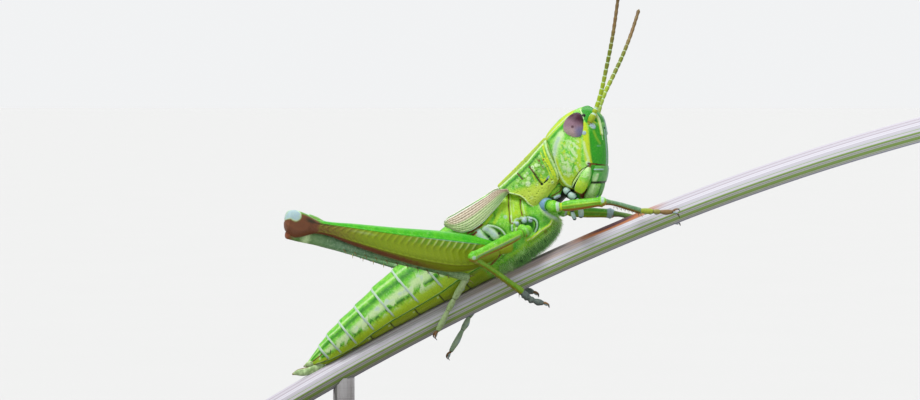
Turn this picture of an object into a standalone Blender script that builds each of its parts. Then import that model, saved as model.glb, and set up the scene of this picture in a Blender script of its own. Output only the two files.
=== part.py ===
"""A small gold grasshopper, female, gripping a cut length of dry stem on a plain display stand.

The script works in metres with +Z up. +X is the way the insect faces, -Y is its right side, and the
origin is the middle of the stand's underside. Sizes are written in millimetres and scaled by MM.
"""

import math
from dataclasses import dataclass

import bmesh
import bpy
from mathutils import Matrix, Vector

MM = 0.001
GAP = 0.08  # clearance that neighbouring solids keep at this small scale

# Stand and perch.
BASE_LENGTH, BASE_DEPTH, BASE_HEIGHT = 46.0, 24.0, 3.0
BASE_CORNER, BASE_EDGE = 3.0, 0.5
ROD_X, ROD_RADIUS = -10.8, 0.6
STEM_FOOT_X, STEM_TIP_X, STEM_RADIUS = -15.2, 21.3, 0.69
STEM_RISE, STEM_SLOPE, STEM_SAG = 11.62, 0.462, 0.0046  # height over the base's middle, slope, easing

# The body's axis: where the tail end lies, and how far the insect looks up along the stem.
TAIL = Vector((-13.2, 0.0, 6.03))
PITCH = math.radians(38.0)
BODY_SIDES = 28

# The head turns a little to its right about the neck.
NECK = Vector((0.66, 0.0, 18.15))
HEAD_TURN = math.radians(20.0)
EYE_RADII = (0.59, 0.56, 0.74)
EYE_PLACE = (1.66, 1.05, 1.34)
EYE_LEAN = math.radians(6.0)

# Mouth feelers, forward, outward and above the neck in the head's frame: the right one hangs lower.
PALPS = {
    "right": ((1.12, 0.62, -1.95), (1.34, 0.76, -2.45), (1.66, 0.72, -2.90), (1.74, 0.58, -3.55)),
    "left": ((1.12, 0.62, -1.95), (1.20, 0.76, -2.40), (1.36, 0.66, -2.85), (1.46, 0.46, -3.30)),
}

LIMB_SIDES = 12
FEELER_RADIUS = 0.25
WING_THICKNESS = 0.5


@dataclass(frozen=True)
class Section:
    """One cross-section of the body: its top and bottom points along and above the axis, and half its width."""

    top_along: float
    top_above: float
    bottom_along: float
    bottom_above: float
    half_width: float
    squareness: float = 0.9


@dataclass(frozen=True)
class HeadLevel:
    """One level of the head: its height over the neck, where its back and front lie, and half its width."""

    height: float
    back: float
    front: float
    half_width: float


@dataclass(frozen=True)
class LegPose:
    """The joints of one leg, from the body outwards, in millimetres."""

    coxa: tuple
    hip: tuple
    knee: tuple
    ankle: tuple
    ball: tuple
    toe: tuple


@dataclass(frozen=True)
class LegBuild:
    """Half thicknesses of one kind of leg at its coxa, hip, mid femur, knee and shin."""

    coxa: float
    hip: float
    thigh: float
    knee: float
    shin: float


@dataclass(frozen=True)
class ThighSection:
    """A place along the jumping leg's femur: share of its length, drop below the straight line, half sizes."""

    share: float
    drop: float
    half_height: float
    half_width: float


ABDOMEN = (
    Section(1.05, 0.12, 1.25, -0.48, 0.34),
    Section(1.75, 0.42, 1.75, -0.64, 0.55),
    Section(2.55, 0.67, 2.55, -0.82, 0.78),
    Section(3.60, 0.82, 3.60, -1.02, 0.98),
    Section(4.90, 0.97, 4.90, -1.24, 1.14),
    Section(6.30, 1.14, 6.30, -1.49, 1.26),
    Section(7.80, 1.22, 7.80, -1.76, 1.34),
    Section(9.40, 1.28, 9.40, -2.08, 1.42),
    Section(11.05, 1.33, 11.05, -2.41, 1.48),
)
THORAX = (
    Section(11.20, 1.33, 11.20, -2.44, 1.50),
    Section(12.20, 1.35, 12.20, -2.66, 1.58),
    Section(13.20, 1.36, 13.20, -2.88, 1.64),
    Section(14.10, 1.28, 14.30, -2.96, 1.62),
    Section(14.70, 1.14, 15.10, -2.93, 1.52),
    Section(15.30, 0.90, 15.80, -2.78, 1.38),
    Section(15.90, 0.55, 16.30, -2.40, 1.24),
    Section(16.40, 0.10, 16.55, -1.75, 1.08),
)
PRONOTUM = (
    Section(14.65, 1.27, 15.50, -0.92, 1.38, 0.75),
    Section(15.50, 1.35, 16.00, -0.94, 1.41, 0.75),
    Section(16.40, 1.46, 16.55, -0.90, 1.41, 0.75),
    Section(17.40, 1.60, 17.15, -0.78, 1.39, 0.75),
    Section(18.50, 1.76, 17.75, -0.58, 1.36, 0.75),
)
HEAD = (
    HeadLevel(2.42, 1.84, 2.26, 0.28),
    HeadLevel(2.18, 1.24, 2.54, 0.66),
    HeadLevel(1.85, 0.68, 2.84, 0.98),
    HeadLevel(1.38, 0.18, 2.99, 1.22),
    HeadLevel(0.80, -0.28, 3.08, 1.38),
    HeadLevel(0.15, -0.38, 3.16, 1.46),
    HeadLevel(-0.45, -0.20, 3.18, 1.48),
    HeadLevel(-0.95, 0.00, 3.15, 1.42),
    HeadLevel(-1.50, 0.24, 2.96, 1.28),
    HeadLevel(-1.92, 0.58, 2.60, 1.10),
    HeadLevel(-2.22, 1.02, 2.14, 0.78),
)
CLYPEUS = (
    HeadLevel(-0.92, 2.42, 3.14, 0.92),
    HeadLevel(-1.55, 2.40, 3.05, 0.90),
    HeadLevel(-2.15, 2.20, 2.88, 0.80),
    HeadLevel(-2.75, 2.00, 2.54, 0.50),
)
FORE_RIGHT = LegPose(
    (0.35, -1.10, 15.18), (0.85, -1.62, 15.06), (3.36, -2.30, 15.40),
    (5.38, -1.12, 14.86), (6.32, -1.06, 14.80), (7.24, -1.06, 14.78),
)
FORE_LEFT = LegPose(
    (0.80, 1.00, 14.95), (1.26, 1.50, 14.72), (4.06, 2.10, 14.58),
    (5.96, 1.16, 14.18), (6.70, 1.06, 14.12), (7.42, 0.98, 14.10),
)
MID_RIGHT = LegPose(
    (-1.10, -1.35, 14.05), (-0.81, -1.90, 13.78), (-3.76, -4.00, 12.45),
    (-1.06, -1.15, 10.46), (-0.57, -1.06, 10.02), (0.15, -1.00, 9.78),
)
MID_LEFT = LegPose(
    (-1.10, 1.35, 13.90), (-0.95, 1.90, 13.55), (-3.27, 4.00, 12.50),
    (-1.41, 1.18, 10.76), (-0.95, 1.08, 10.50), (-0.35, 1.00, 10.25),
)
HIND_RIGHT = LegPose(
    (-1.75, -1.30, 13.10), (-2.45, -1.85, 12.78), (-13.27, -6.40, 14.38),
    (-4.02, -1.62, 11.24), (-4.84, -1.12, 9.80), (-5.66, -1.06, 8.20),
)
HIND_LEFT = LegPose(
    (-1.75, 1.30, 12.95), (-2.45, 1.85, 12.68), (-13.22, 6.00, 13.70),
    (-3.29, 1.42, 10.30), (-3.98, 1.16, 8.70), (-4.95, 0.98, 6.90),
)
FORE_BUILD = LegBuild(0.42, 0.32, 0.29, 0.27, 0.25)
MID_BUILD = LegBuild(0.46, 0.34, 0.28, 0.27, 0.25)
HIND_SHIN, HIND_FOOT = 0.27, 0.25
HIND_THIGH = (
    ThighSection(0.03, 0.18, 0.62, 0.42),
    ThighSection(0.10, 0.36, 0.94, 0.54),
    ThighSection(0.19, 0.45, 1.07, 0.60),
    ThighSection(0.31, 0.45, 1.05, 0.60),
    ThighSection(0.50, 0.36, 0.85, 0.52),
    ThighSection(0.70, 0.16, 0.56, 0.40),
    ThighSection(0.84, 0.02, 0.37, 0.30),
    ThighSection(0.92, 0.00, 0.44, 0.33),
    ThighSection(0.985, 0.00, 0.71, 0.42),
    ThighSection(1.04, -0.08, 0.57, 0.36),
)
# Feelers run from the socket between the eyes to the tip.
FEELER_RIGHT = (
    (2.82, -1.60, 19.56), (2.97, -1.52, 20.24), (3.26, -1.54, 21.50),
    (3.62, -1.62, 22.92), (3.90, -1.72, 24.40), (4.20, -1.86, 26.56),
)
FEELER_LEFT = (
    (3.02, -0.28, 19.50), (3.40, -0.10, 20.56), (3.76, 0.25, 21.45),
    (4.13, 0.70, 22.40), (4.48, 1.15, 23.10), (5.08, 1.98, 24.50), (5.60, 2.90, 25.97),
)
# The small right wing's outline along and above the body's axis, from its hinge round to its tip and back.
WING_OUTLINE = (
    (14.95, 0.85), (14.75, 1.20), (13.90, 1.38), (12.90, 1.50), (12.00, 1.58), (11.30, 1.62),
    (11.10, 1.40), (11.35, 0.85), (12.00, 0.38), (12.70, 0.27), (13.70, 0.38), (14.60, 0.50),
)
WING_SIDE = 1.72


def scene_collection(name):
    """Return a new collection linked to the scene."""
    made = bpy.data.collections.new(name)
    bpy.context.scene.collection.children.link(made)
    return made


def look(name, colour, roughness, metallic=0.0):
    """Return a Principled material of one plain colour."""
    made = bpy.data.materials.new(name)
    made.use_nodes = True
    shader = made.node_tree.nodes["Principled BSDF"]
    shader.inputs["Base Color"].default_value = (*colour, 1.0)
    shader.inputs["Roughness"].default_value = roughness
    shader.inputs["Metallic"].default_value = metallic
    return made


def mesh_piece(name, shape, material):
    """Turn a bmesh in millimetres into a named part."""
    bmesh.ops.scale(shape, vec=(MM, MM, MM), verts=shape.verts)
    bmesh.ops.recalc_face_normals(shape, faces=shape.faces)
    mesh = bpy.data.meshes.new(name)
    shape.to_mesh(mesh)
    shape.free()
    mesh.shade_smooth()
    mesh.set_sharp_from_angle(angle=math.radians(40.0))
    mesh.materials.append(material)
    piece = bpy.data.objects.new(name, mesh)
    PARTS.objects.link(piece)
    return piece


def loft(name, rings, material):
    """Skin a row of equal rings of points and close both ends with a flat cap."""
    shape = bmesh.new()
    loops = [[shape.verts.new(point) for point in ring] for ring in rings]
    count = len(loops[0])
    for near, far in zip(loops, loops[1:]):
        for i in range(count):
            j = (i + 1) % count
            shape.faces.new((near[i], near[j], far[j], far[i]))
    shape.faces.new(loops[0])
    shape.faces.new(loops[-1])
    return mesh_piece(name, shape, material)


def oval(centre, up, side, sides, squareness=1.0):
    """Return the points of a rounded oval spanned by two half axes; squareness under 1 fills its corners."""
    points = []
    for i in range(sides):
        angle = 2.0 * math.pi * i / sides
        across = math.copysign(abs(math.cos(angle)) ** squareness, math.cos(angle))
        upward = math.copysign(abs(math.sin(angle)) ** squareness, math.sin(angle))
        points.append(centre + side * across + up * upward)
    return points


def on_axis(along, above, side=0.0):
    """Return the point at a place along, above and beside the body's axis."""
    forward = Vector((math.cos(PITCH), 0.0, math.sin(PITCH)))
    upward = Vector((-math.sin(PITCH), 0.0, math.cos(PITCH)))
    return TAIL + forward * along + upward * above + Vector((0.0, side, 0.0))


def body_piece(name, sections, material):
    """Loft one stretch of the body through its cross-sections."""
    rings = []
    for section in sections:
        top = on_axis(section.top_along, section.top_above)
        bottom = on_axis(section.bottom_along, section.bottom_above)
        side = Vector((0.0, section.half_width, 0.0))
        rings.append(oval((top + bottom) / 2, (top - bottom) / 2, side, BODY_SIDES, section.squareness))
    return loft(name, rings, material)


def in_head(forward, side, height):
    """Return the point at a place in the turned head's own frame."""
    return NECK + Matrix.Rotation(-HEAD_TURN, 3, "Z") @ Vector((forward, side, height))


def head_piece(name, levels, material):
    """Loft a piece of the head through its level cross-sections."""
    rings = []
    for level in levels:
        middle = (level.back + level.front) / 2
        centre = in_head(middle, 0.0, level.height)
        fore = in_head(level.front, 0.0, level.height) - centre
        side = in_head(middle, level.half_width, level.height) - centre
        rings.append(oval(centre, fore, side, BODY_SIDES))
    return loft(name, rings, material)


def limb(name, stations, material, sides=LIMB_SIDES):
    """Loft a limb through stations of (point, half height, half width), with rounded ends."""
    points = [Vector(point) for point, _, _ in stations]
    run = (points[-1] - points[0]).normalized()
    level = Vector((1.0, 0.0, 0.0)) if abs(run.z) > 0.8 else Vector((0.0, 0.0, 1.0))
    rings = []
    for i, (_, half_height, half_width) in enumerate(stations):
        ahead = points[min(i + 1, len(points) - 1)] - points[max(i - 1, 0)]
        forward = ahead.normalized()
        side = forward.cross(level).normalized()
        up = side.cross(forward)
        if i == 0:
            rings.append(oval(points[i] - forward * half_width * 0.6, up * half_height * 0.6,
                              side * half_width * 0.6, sides))
        rings.append(oval(points[i], up * half_height, side * half_width, sides))
        if i == len(stations) - 1:
            rings.append(oval(points[i] + forward * half_width * 0.6, up * half_height * 0.6,
                              side * half_width * 0.6, sides))
    return loft(name, rings, material)


def tube(name, points, radius, material):
    """Make a round tube along points as a bevelled curve, then turn it into a welded mesh."""
    curve = bpy.data.curves.new(name, "CURVE")
    curve.dimensions = "3D"
    curve.bevel_depth = radius * MM
    curve.bevel_resolution = 2
    curve.use_fill_caps = True
    spline = curve.splines.new("POLY")
    spline.points.add(len(points) - 1)
    for target, point in zip(spline.points, points):
        target.co = (*(Vector(point) * MM), 1.0)
    draft = bpy.data.objects.new(name, curve)
    PARTS.objects.link(draft)
    bpy.context.view_layer.update()
    mesh = bpy.data.meshes.new_from_object(draft.evaluated_get(bpy.context.evaluated_depsgraph_get()))
    bpy.data.objects.remove(draft)
    bpy.data.curves.remove(curve)
    shape = bmesh.new()
    shape.from_mesh(mesh)
    bpy.data.meshes.remove(mesh)
    bmesh.ops.remove_doubles(shape, verts=shape.verts, dist=1e-7)
    bmesh.ops.scale(shape, vec=(1 / MM, 1 / MM, 1 / MM), verts=shape.verts)
    return mesh_piece(name, shape, material)


def cut(piece, *neighbours):
    """Cut the neighbours, swollen by the gap, out of a piece, so that the two meet with that clearance."""
    for neighbour in neighbours:
        cutter = bpy.data.objects.new(f"cutter_{piece.name}_{neighbour.name}"[:60], neighbour.data)
        cutter.hide_render = True
        cutter.display_type = "WIRE"
        CUTTERS.objects.link(cutter)
        swell = cutter.modifiers.new("swell", "DISPLACE")
        swell.strength = GAP * MM
        swell.mid_level = 0.0
        trim = piece.modifiers.new(f"clear_{neighbour.name}"[:60], "BOOLEAN")
        trim.operation = "DIFFERENCE"
        trim.solver = "EXACT"
        trim.object = cutter


def stem_height(x):
    """Return the height of the stem's centre line."""
    return STEM_RISE + STEM_SLOPE * x - STEM_SAG * x * x


def build_stand():
    """Build the flat base, the short rod and the stem that rests on them."""
    shape = bmesh.new()
    bmesh.ops.create_cube(shape, size=1.0)
    bmesh.ops.scale(shape, vec=(BASE_LENGTH, BASE_DEPTH, BASE_HEIGHT), verts=shape.verts)
    bmesh.ops.translate(shape, vec=(0.0, 0.0, BASE_HEIGHT / 2), verts=shape.verts)
    uprights = [e for e in shape.edges if abs(e.verts[0].co.z - e.verts[1].co.z) > 0.1]
    bmesh.ops.bevel(shape, geom=uprights, offset=BASE_CORNER, segments=5, profile=0.5, affect="EDGES")
    rim = [e for e in shape.edges if min(v.co.z for v in e.verts) > BASE_HEIGHT - 0.01]
    bmesh.ops.bevel(shape, geom=rim, offset=BASE_EDGE, segments=2, profile=0.5, affect="EDGES")
    base = mesh_piece("stand_base", shape, LOOKS["wood"])

    xs = [STEM_FOOT_X + (STEM_TIP_X - STEM_FOOT_X) * i / 24 for i in range(25)]
    stem = tube("perch_stem", [(x, 0.0, stem_height(x)) for x in xs], STEM_RADIUS, LOOKS["stem"])
    cut(stem, base)

    shape = bmesh.new()
    rod_top = stem_height(ROD_X)
    bmesh.ops.create_cone(shape, cap_ends=True, segments=20, radius1=ROD_RADIUS, radius2=ROD_RADIUS,
                          depth=rod_top - BASE_HEIGHT - GAP)
    bmesh.ops.translate(shape, vec=(ROD_X, 0.0, (rod_top + BASE_HEIGHT + GAP) / 2), verts=shape.verts)
    rod = mesh_piece("stand_rod", shape, LOOKS["steel"])
    cut(rod, stem)
    return stem


def build_head():
    """Build the head capsule with its eyes, mouthparts and feelers."""
    head = head_piece("head", HEAD, LOOKS["green"])
    clypeus = head_piece("clypeus_labrum", CLYPEUS, LOOKS["pale"])
    cut(head, clypeus)
    palps = []
    for side_name, side in (("right", -1.0), ("left", 1.0)):
        shape = bmesh.new()
        bmesh.ops.create_uvsphere(shape, u_segments=20, v_segments=12, radius=1.0)
        turn = Matrix.Rotation(-HEAD_TURN, 4, "Z") @ Matrix.Rotation(EYE_LEAN, 4, "Y")
        forward, outward, height = EYE_PLACE
        place = Matrix.Translation(in_head(forward, side * outward, height))
        bmesh.ops.transform(shape, matrix=place @ turn @ Matrix.Diagonal((*EYE_RADII, 1.0)), verts=shape.verts)
        eye = mesh_piece(f"eye_{side_name}", shape, LOOKS["eye"])
        cut(eye, head)

        jaw = limb(f"mandible_{side_name}", (
            (in_head(2.40, side * 1.10, -1.12), 0.25, 0.28),
            (in_head(2.26, side * 1.14, -1.52), 0.29, 0.30),
            (in_head(2.08, side * 1.08, -1.92), 0.29, 0.28),
            (in_head(1.88, side * 0.96, -2.26), 0.25, 0.25),
        ), LOOKS["green"])
        cut(jaw, head, clypeus)

        palp = tube(f"palp_{side_name}", [
            in_head(forward, side * outward, height) for forward, outward, height in PALPS[side_name]
        ], FEELER_RADIUS, LOOKS["pale"])
        cut(palp, head, clypeus, jaw)
        palps.append(palp)
    for name, route in (("antenna_right", FEELER_RIGHT), ("antenna_left", FEELER_LEFT)):
        feeler = tube(name, route, FEELER_RADIUS, LOOKS["horn"])
        cut(feeler, head)
    return head, palps


def build_leg(name, pose, build, *neighbours):
    """Build a walking leg as femur, tibia and tarsus."""
    coxa, hip, knee = Vector(pose.coxa), Vector(pose.hip), Vector(pose.knee)
    ankle, ball, toe = Vector(pose.ankle), Vector(pose.ball), Vector(pose.toe)
    femur = limb(f"{name}_femur", (
        (coxa, build.coxa, build.coxa),
        (hip, build.hip, build.hip),
        (hip.lerp(knee, 0.35), build.thigh, build.thigh),
        (hip.lerp(knee, 0.85), build.knee, build.knee),
        (knee, build.knee, build.knee),
    ), LOOKS["green"])
    tibia = limb(f"{name}_tibia", (
        (knee.lerp(ankle, 0.06), build.shin, build.shin),
        (knee.lerp(ankle, 0.50), build.shin, build.shin),
        (knee.lerp(ankle, 0.96), build.shin, build.shin),
    ), LOOKS["teal"])
    tarsus = limb(f"{name}_tarsus", (
        (ankle.lerp(ball, 0.10), build.shin, build.shin),
        (ball, build.shin, build.shin),
        (toe, build.shin, build.shin),
    ), LOOKS["horn"])
    cut(femur, *neighbours)
    cut(tibia, femur)
    cut(tarsus, tibia)
    return femur, tibia, tarsus


def build_jumping_leg(name, pose, *neighbours):
    """Build a hind leg: the deep femur, the thin tibia folded under it, and the tarsus."""
    coxa, hip, knee = Vector(pose.coxa), Vector(pose.hip), Vector(pose.knee)
    ankle, ball, toe = Vector(pose.ankle), Vector(pose.ball), Vector(pose.toe)
    stations = [(coxa, 0.50, 0.42)]
    for section in HIND_THIGH:
        drop = Vector((0.0, 0.0, -section.drop))
        stations.append((hip.lerp(knee, section.share) + drop, section.half_height, section.half_width))
    femur = limb(f"{name}_femur", stations, LOOKS["green"], sides=16)
    heel = knee + Vector((-0.25, 0.0, -0.62))
    tibia = limb(f"{name}_tibia", [
        (heel.lerp(ankle, share), HIND_SHIN, HIND_SHIN) for share in (0.0, 0.2, 0.5, 0.8, 0.97)
    ], LOOKS["teal"])
    tarsus = limb(f"{name}_tarsus", (
        (ankle.lerp(ball, 0.08), HIND_FOOT, HIND_FOOT),
        (ball, HIND_FOOT, HIND_FOOT),
        (toe, HIND_FOOT, HIND_FOOT),
    ), LOOKS["pale"])
    cut(femur, *neighbours)
    cut(tibia, femur)
    cut(tarsus, tibia)
    return femur, tibia, tarsus


def build_wing(name, side, *neighbours):
    """Build one scale-like wing as a flat rounded plate on the flank."""
    outline = bpy.data.curves.new(name, "CURVE")
    outline.dimensions = "2D"
    outline.fill_mode = "BOTH"
    outline.extrude = WING_THICKNESS / 2
    spline = outline.splines.new("POLY")
    spline.points.add(len(WING_OUTLINE) - 1)
    spline.use_cyclic_u = True
    for target, (along, above) in zip(spline.points, WING_OUTLINE):
        target.co = (along, above, 0.0, 1.0)
    draft = bpy.data.objects.new(name, outline)
    PARTS.objects.link(draft)
    bpy.context.view_layer.update()
    mesh = bpy.data.meshes.new_from_object(draft.evaluated_get(bpy.context.evaluated_depsgraph_get()))
    bpy.data.objects.remove(draft)
    bpy.data.curves.remove(outline)
    shape = bmesh.new()
    shape.from_mesh(mesh)
    bpy.data.meshes.remove(mesh)
    bmesh.ops.remove_doubles(shape, verts=shape.verts, dist=1e-4)
    for vertex in shape.verts:
        lean = side * (WING_SIDE - 0.10 * vertex.co.y)
        vertex.co = on_axis(vertex.co.x, vertex.co.y, lean + vertex.co.z)
    wing = mesh_piece(name, shape, LOOKS["wing"])
    cut(wing, *neighbours)
    return wing


def main():
    """Build every part, each one cut clear of those it meets."""
    stem = build_stand()
    pronotum = body_piece("pronotum", PRONOTUM, LOOKS["green"])
    head, palps = build_head()
    cut(pronotum, head)
    thorax = body_piece("thorax", THORAX, LOOKS["green"])
    cut(thorax, pronotum, stem, head)
    abdomen = body_piece("abdomen", ABDOMEN, LOOKS["green"])
    cut(abdomen, stem)
    valves = limb("ovipositor", (
        (on_axis(0.98, -0.16), 0.32, 0.30),
        (on_axis(0.45, -0.18), 0.32, 0.28),
        (on_axis(-0.15, -0.10), 0.26, 0.25),
    ), LOOKS["pale"])
    cut(valves, abdomen, stem)

    for leg, pose, build in (
        ("foreleg_right", FORE_RIGHT, FORE_BUILD),
        ("foreleg_left", FORE_LEFT, FORE_BUILD),
        ("midleg_right", MID_RIGHT, MID_BUILD),
        ("midleg_left", MID_LEFT, MID_BUILD),
    ):
        femur, tibia, tarsus = build_leg(leg, pose, build, thorax, pronotum, head, *palps)
        cut(tibia, stem)
        cut(tarsus, stem)
    hips = []
    for leg, pose in (("hindleg_right", HIND_RIGHT), ("hindleg_left", HIND_LEFT)):
        femur, tibia, tarsus = build_jumping_leg(leg, pose, thorax, abdomen)
        cut(tibia, abdomen)
        cut(tarsus, stem)
        hips.append(femur)
    for wing, side, hip in (("forewing_right", -1.0, hips[0]), ("forewing_left", 1.0, hips[1])):
        build_wing(wing, side, thorax, abdomen, pronotum, hip)


for old in list(bpy.data.objects):
    bpy.data.objects.remove(old)
PARTS = scene_collection("grasshopper")
CUTTERS = scene_collection("cutters")
LOOKS = {
    "green": look("green cuticle", (0.12, 0.46, 0.03), 0.45),
    "pale": look("pale green cuticle", (0.50, 0.68, 0.38), 0.45),
    "teal": look("blue-green cuticle", (0.16, 0.30, 0.18), 0.45),
    "horn": look("brown cuticle", (0.30, 0.22, 0.08), 0.50),
    "eye": look("eye", (0.20, 0.10, 0.12), 0.20),
    "wing": look("wing", (0.60, 0.48, 0.36), 0.50),
    "stem": look("dry stem", (0.62, 0.58, 0.60), 0.60),
    "steel": look("steel", (0.55, 0.55, 0.55), 0.35, 1.0),
    "wood": look("dark wood", (0.06, 0.04, 0.03), 0.45),
}
main()
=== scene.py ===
"""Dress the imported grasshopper: skins, plates, eyes, legs, wings, hairs, the stem and the stand.

Shapes are worked out in millimetres in the insect's own frames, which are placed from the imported
model's boxes, and are scaled by MM when they become pieces. +X is the way the insect faces and -Y is
its right side.
"""

import logging
import math
import sys
from dataclasses import astuple, dataclass, field
from enum import Enum
from typing import Callable, Optional, Sequence, Union

import bmesh
import bpy
import numpy as np
from mathutils import Matrix, Vector
from mathutils.kdtree import KDTree


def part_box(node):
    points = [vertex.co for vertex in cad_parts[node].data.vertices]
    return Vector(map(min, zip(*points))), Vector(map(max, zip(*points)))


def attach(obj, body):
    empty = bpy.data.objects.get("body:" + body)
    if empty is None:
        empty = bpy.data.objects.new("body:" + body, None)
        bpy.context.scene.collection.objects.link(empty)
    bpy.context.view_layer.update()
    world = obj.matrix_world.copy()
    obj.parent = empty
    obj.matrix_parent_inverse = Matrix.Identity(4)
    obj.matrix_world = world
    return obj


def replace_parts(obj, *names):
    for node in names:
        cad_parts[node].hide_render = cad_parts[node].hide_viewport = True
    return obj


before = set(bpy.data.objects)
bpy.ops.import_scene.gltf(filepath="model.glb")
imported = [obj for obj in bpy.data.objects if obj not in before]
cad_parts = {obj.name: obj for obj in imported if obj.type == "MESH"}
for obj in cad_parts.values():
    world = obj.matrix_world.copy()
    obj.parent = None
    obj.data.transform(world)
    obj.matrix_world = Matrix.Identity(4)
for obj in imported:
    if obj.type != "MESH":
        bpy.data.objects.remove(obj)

MM = 0.001
LOG = logging.getLogger("grasshopper")
Point = tuple[float, float, float]
Colour = tuple[float, float, float]
Array = np.ndarray
Route = Sequence[Sequence[float]]
Place = Callable[[Array, Array], Array]
Finish = bpy.types.Material
Looks = dict[str, Finish]


class Side(Enum):
    """The insect's two sides, as signs of Y."""

    RIGHT = -1.0
    LEFT = 1.0

    @property
    def word(self) -> str:
        """Return the side's name as node names have it."""
        return self.name.lower()


class Mark(Enum):
    """The kinds of marking that a skin can carry, in the order in which they are laid on."""

    OLIVE = "mark_olive"
    DEEP = "mark_deep"
    YELLOW = "mark_yellow"
    PALE = "mark_pale"
    BLUE = "mark_blue"
    RUST = "mark_rust"
    INK = "mark_ink"


OLIVE, DEEP, YELLOW, PALE, BLUE, RUST, INK = Mark
Kind = Union[Mark, str, None]


# ---------------------------------------------------------------- small maths


def smooth_step(value: Array) -> Array:
    """Return the values eased from 0 to 1."""
    held = np.clip(value, 0.0, 1.0)
    return held * held * (3.0 - 2.0 * held)


def rise(value: Array, low: float, high: float) -> Array:
    """Return an eased ramp that is 0 at low and 1 at high."""
    return smooth_step((value - low) / (high - low))


def rounded_end(share: Array) -> Array:
    """Return the height of a quarter circle for shares of its width."""
    return np.sqrt(np.clip(1.0 - (1.0 - share) ** 2, 0.0, 1.0))


def hump(value: Array, centre: float, reach: float) -> Array:
    """Return an eased bump that is 1 at the centre and 0 beyond its reach."""
    return smooth_step(1.0 - np.abs(value - centre) / reach)


def signed_power(value: Array, power: Union[float, Array]) -> Array:
    """Return the values raised to a power with their signs kept."""
    return np.sign(value) * np.abs(value) ** power


def curve_through(stations: Sequence[float], values: Sequence, at: Array) -> Array:
    """Return a smooth curve through values at rising stations.

    Args:
        stations: Rising places along the curve.
        values: A number or a point for each station.
        at: The places to read.

    Returns:
        One value or point for each place.
    """
    knots = np.asarray(stations, float)
    held = np.asarray(values, float)
    slopes = np.gradient(held, knots, axis=0)
    index = np.clip(np.searchsorted(knots, at) - 1, 0, len(knots) - 2)
    span = knots[index + 1] - knots[index]
    share = np.clip((at - knots[index]) / span, 0.0, 1.0)
    if held.ndim > 1:
        span, share = span[:, None], share[:, None]
    square, cube = share**2, share**3
    return (
        (2 * cube - 3 * square + 1) * held[index]
        + (cube - 2 * square + share) * span * slopes[index]
        + (3 * square - 2 * cube) * held[index + 1]
        + (cube - square) * span * slopes[index + 1]
    )


def resample(route: Route, count: int) -> Array:
    """Return evenly spread points on the smooth curve through a route."""
    points = np.asarray(route, float)
    steps = np.linalg.norm(np.diff(points, axis=0), axis=1)
    lengths = np.concatenate([[0.0], np.cumsum(steps)])
    return curve_through(lengths, points, np.linspace(0.0, lengths[-1], count))


def shifted(route: Route, *offset: float) -> Route:
    """Return a route moved by an offset."""
    return tuple(tuple(place + step for place, step in zip(point, offset)) for point in route)


def widened(route: Route, centre: Sequence[float], share: float) -> Route:
    """Return a route moved away from a centre by a share of its distance."""
    return tuple(tuple(at + share * (at - mid) for at, mid in zip(point, centre)) for point in route)


def crossways(run: Array, up: Sequence[float]) -> tuple[Array, Array]:
    """Return the unit direction square to a run on the upper side, and the one square to both."""
    above = np.array(up) - run * (np.array(up) @ run)
    above /= np.linalg.norm(above)
    return above, np.cross(run, above)


def distance_to_line(points: Array, line: Array) -> Array:
    """Return each point's distance from a row of joined straight pieces.

    Args:
        points: Points in millimetres.
        line: The corners of the pieces, in order.

    Returns:
        A distance for each point.
    """
    nearest = np.full(len(points), np.inf)
    for start, end in zip(line, line[1:]):
        run = end - start
        share = np.clip((points - start) @ run / max(run @ run, 1e-12), 0.0, 1.0)
        gap = np.linalg.norm(points - start - share[:, None] * run, axis=1)
        nearest = np.minimum(nearest, gap)
    return nearest


def ripple(points: Array, pitch: float, seed: int = 3) -> Array:
    """Return a cloudy pattern from 0 to 1 over points, with features of a pitch in millimetres.

    Args:
        points: Points in millimetres.
        pitch: Size of a feature in millimetres.
        seed: Start of the random draws.

    Returns:
        A value for each point.
    """
    octaves, waves, warp, contrast = (1.0, 1.9), 5, 1.3, 0.16
    chance = np.random.default_rng(seed)
    total = np.zeros(len(points))
    for octave in octaves:
        for _ in range(waves):
            aim, bend = chance.normal(size=(2, 3))
            aim *= 2.0 * math.pi * octave / (pitch * np.linalg.norm(aim))
            bent = points @ aim + warp * np.sin(points @ bend * 2.0 / pitch)
            total += np.sin(bent + 6.0 * chance.random()) / octave
    return np.clip(0.5 + contrast * total, 0.0, 1.0)


@dataclass(frozen=True)
class Axes:
    """A frame of the insect's own, in millimetres: an origin with forward, side and up directions."""

    origin: Array
    forward: Array
    side: Array
    up: Array

    def out(self, points: Array) -> Array:
        """Return points of this frame (forward, side, up) in the model's frame."""
        turn = np.stack([self.forward, self.side, self.up])
        return np.asarray(points, float) @ turn + self.origin

    @classmethod
    def pitched(cls, origin: Sequence[float], degrees: float) -> "Axes":
        """Return a frame that looks up by an angle."""
        angle = math.radians(degrees)
        along = np.array([math.cos(angle), 0.0, math.sin(angle)])
        above = np.array([-math.sin(angle), 0.0, math.cos(angle)])
        return cls(np.array(origin, float), along, np.array([0.0, 1.0, 0.0]), above)

    @classmethod
    def turned(cls, origin: Sequence[float], degrees: float) -> "Axes":
        """Return a level frame that is turned to the right by an angle."""
        angle = math.radians(degrees)
        along = np.array([math.cos(angle), -math.sin(angle), 0.0])
        beside = np.array([math.sin(angle), math.cos(angle), 0.0])
        return cls(np.array(origin, float), along, beside, np.array([0.0, 0.0, 1.0]))


LEVEL = Axes(np.zeros(3), np.array([1.0, 0, 0]), np.array([0, 1.0, 0]), np.array([0, 0, 1.0]))


# ---------------------------------------------------------------- shader maths


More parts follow.
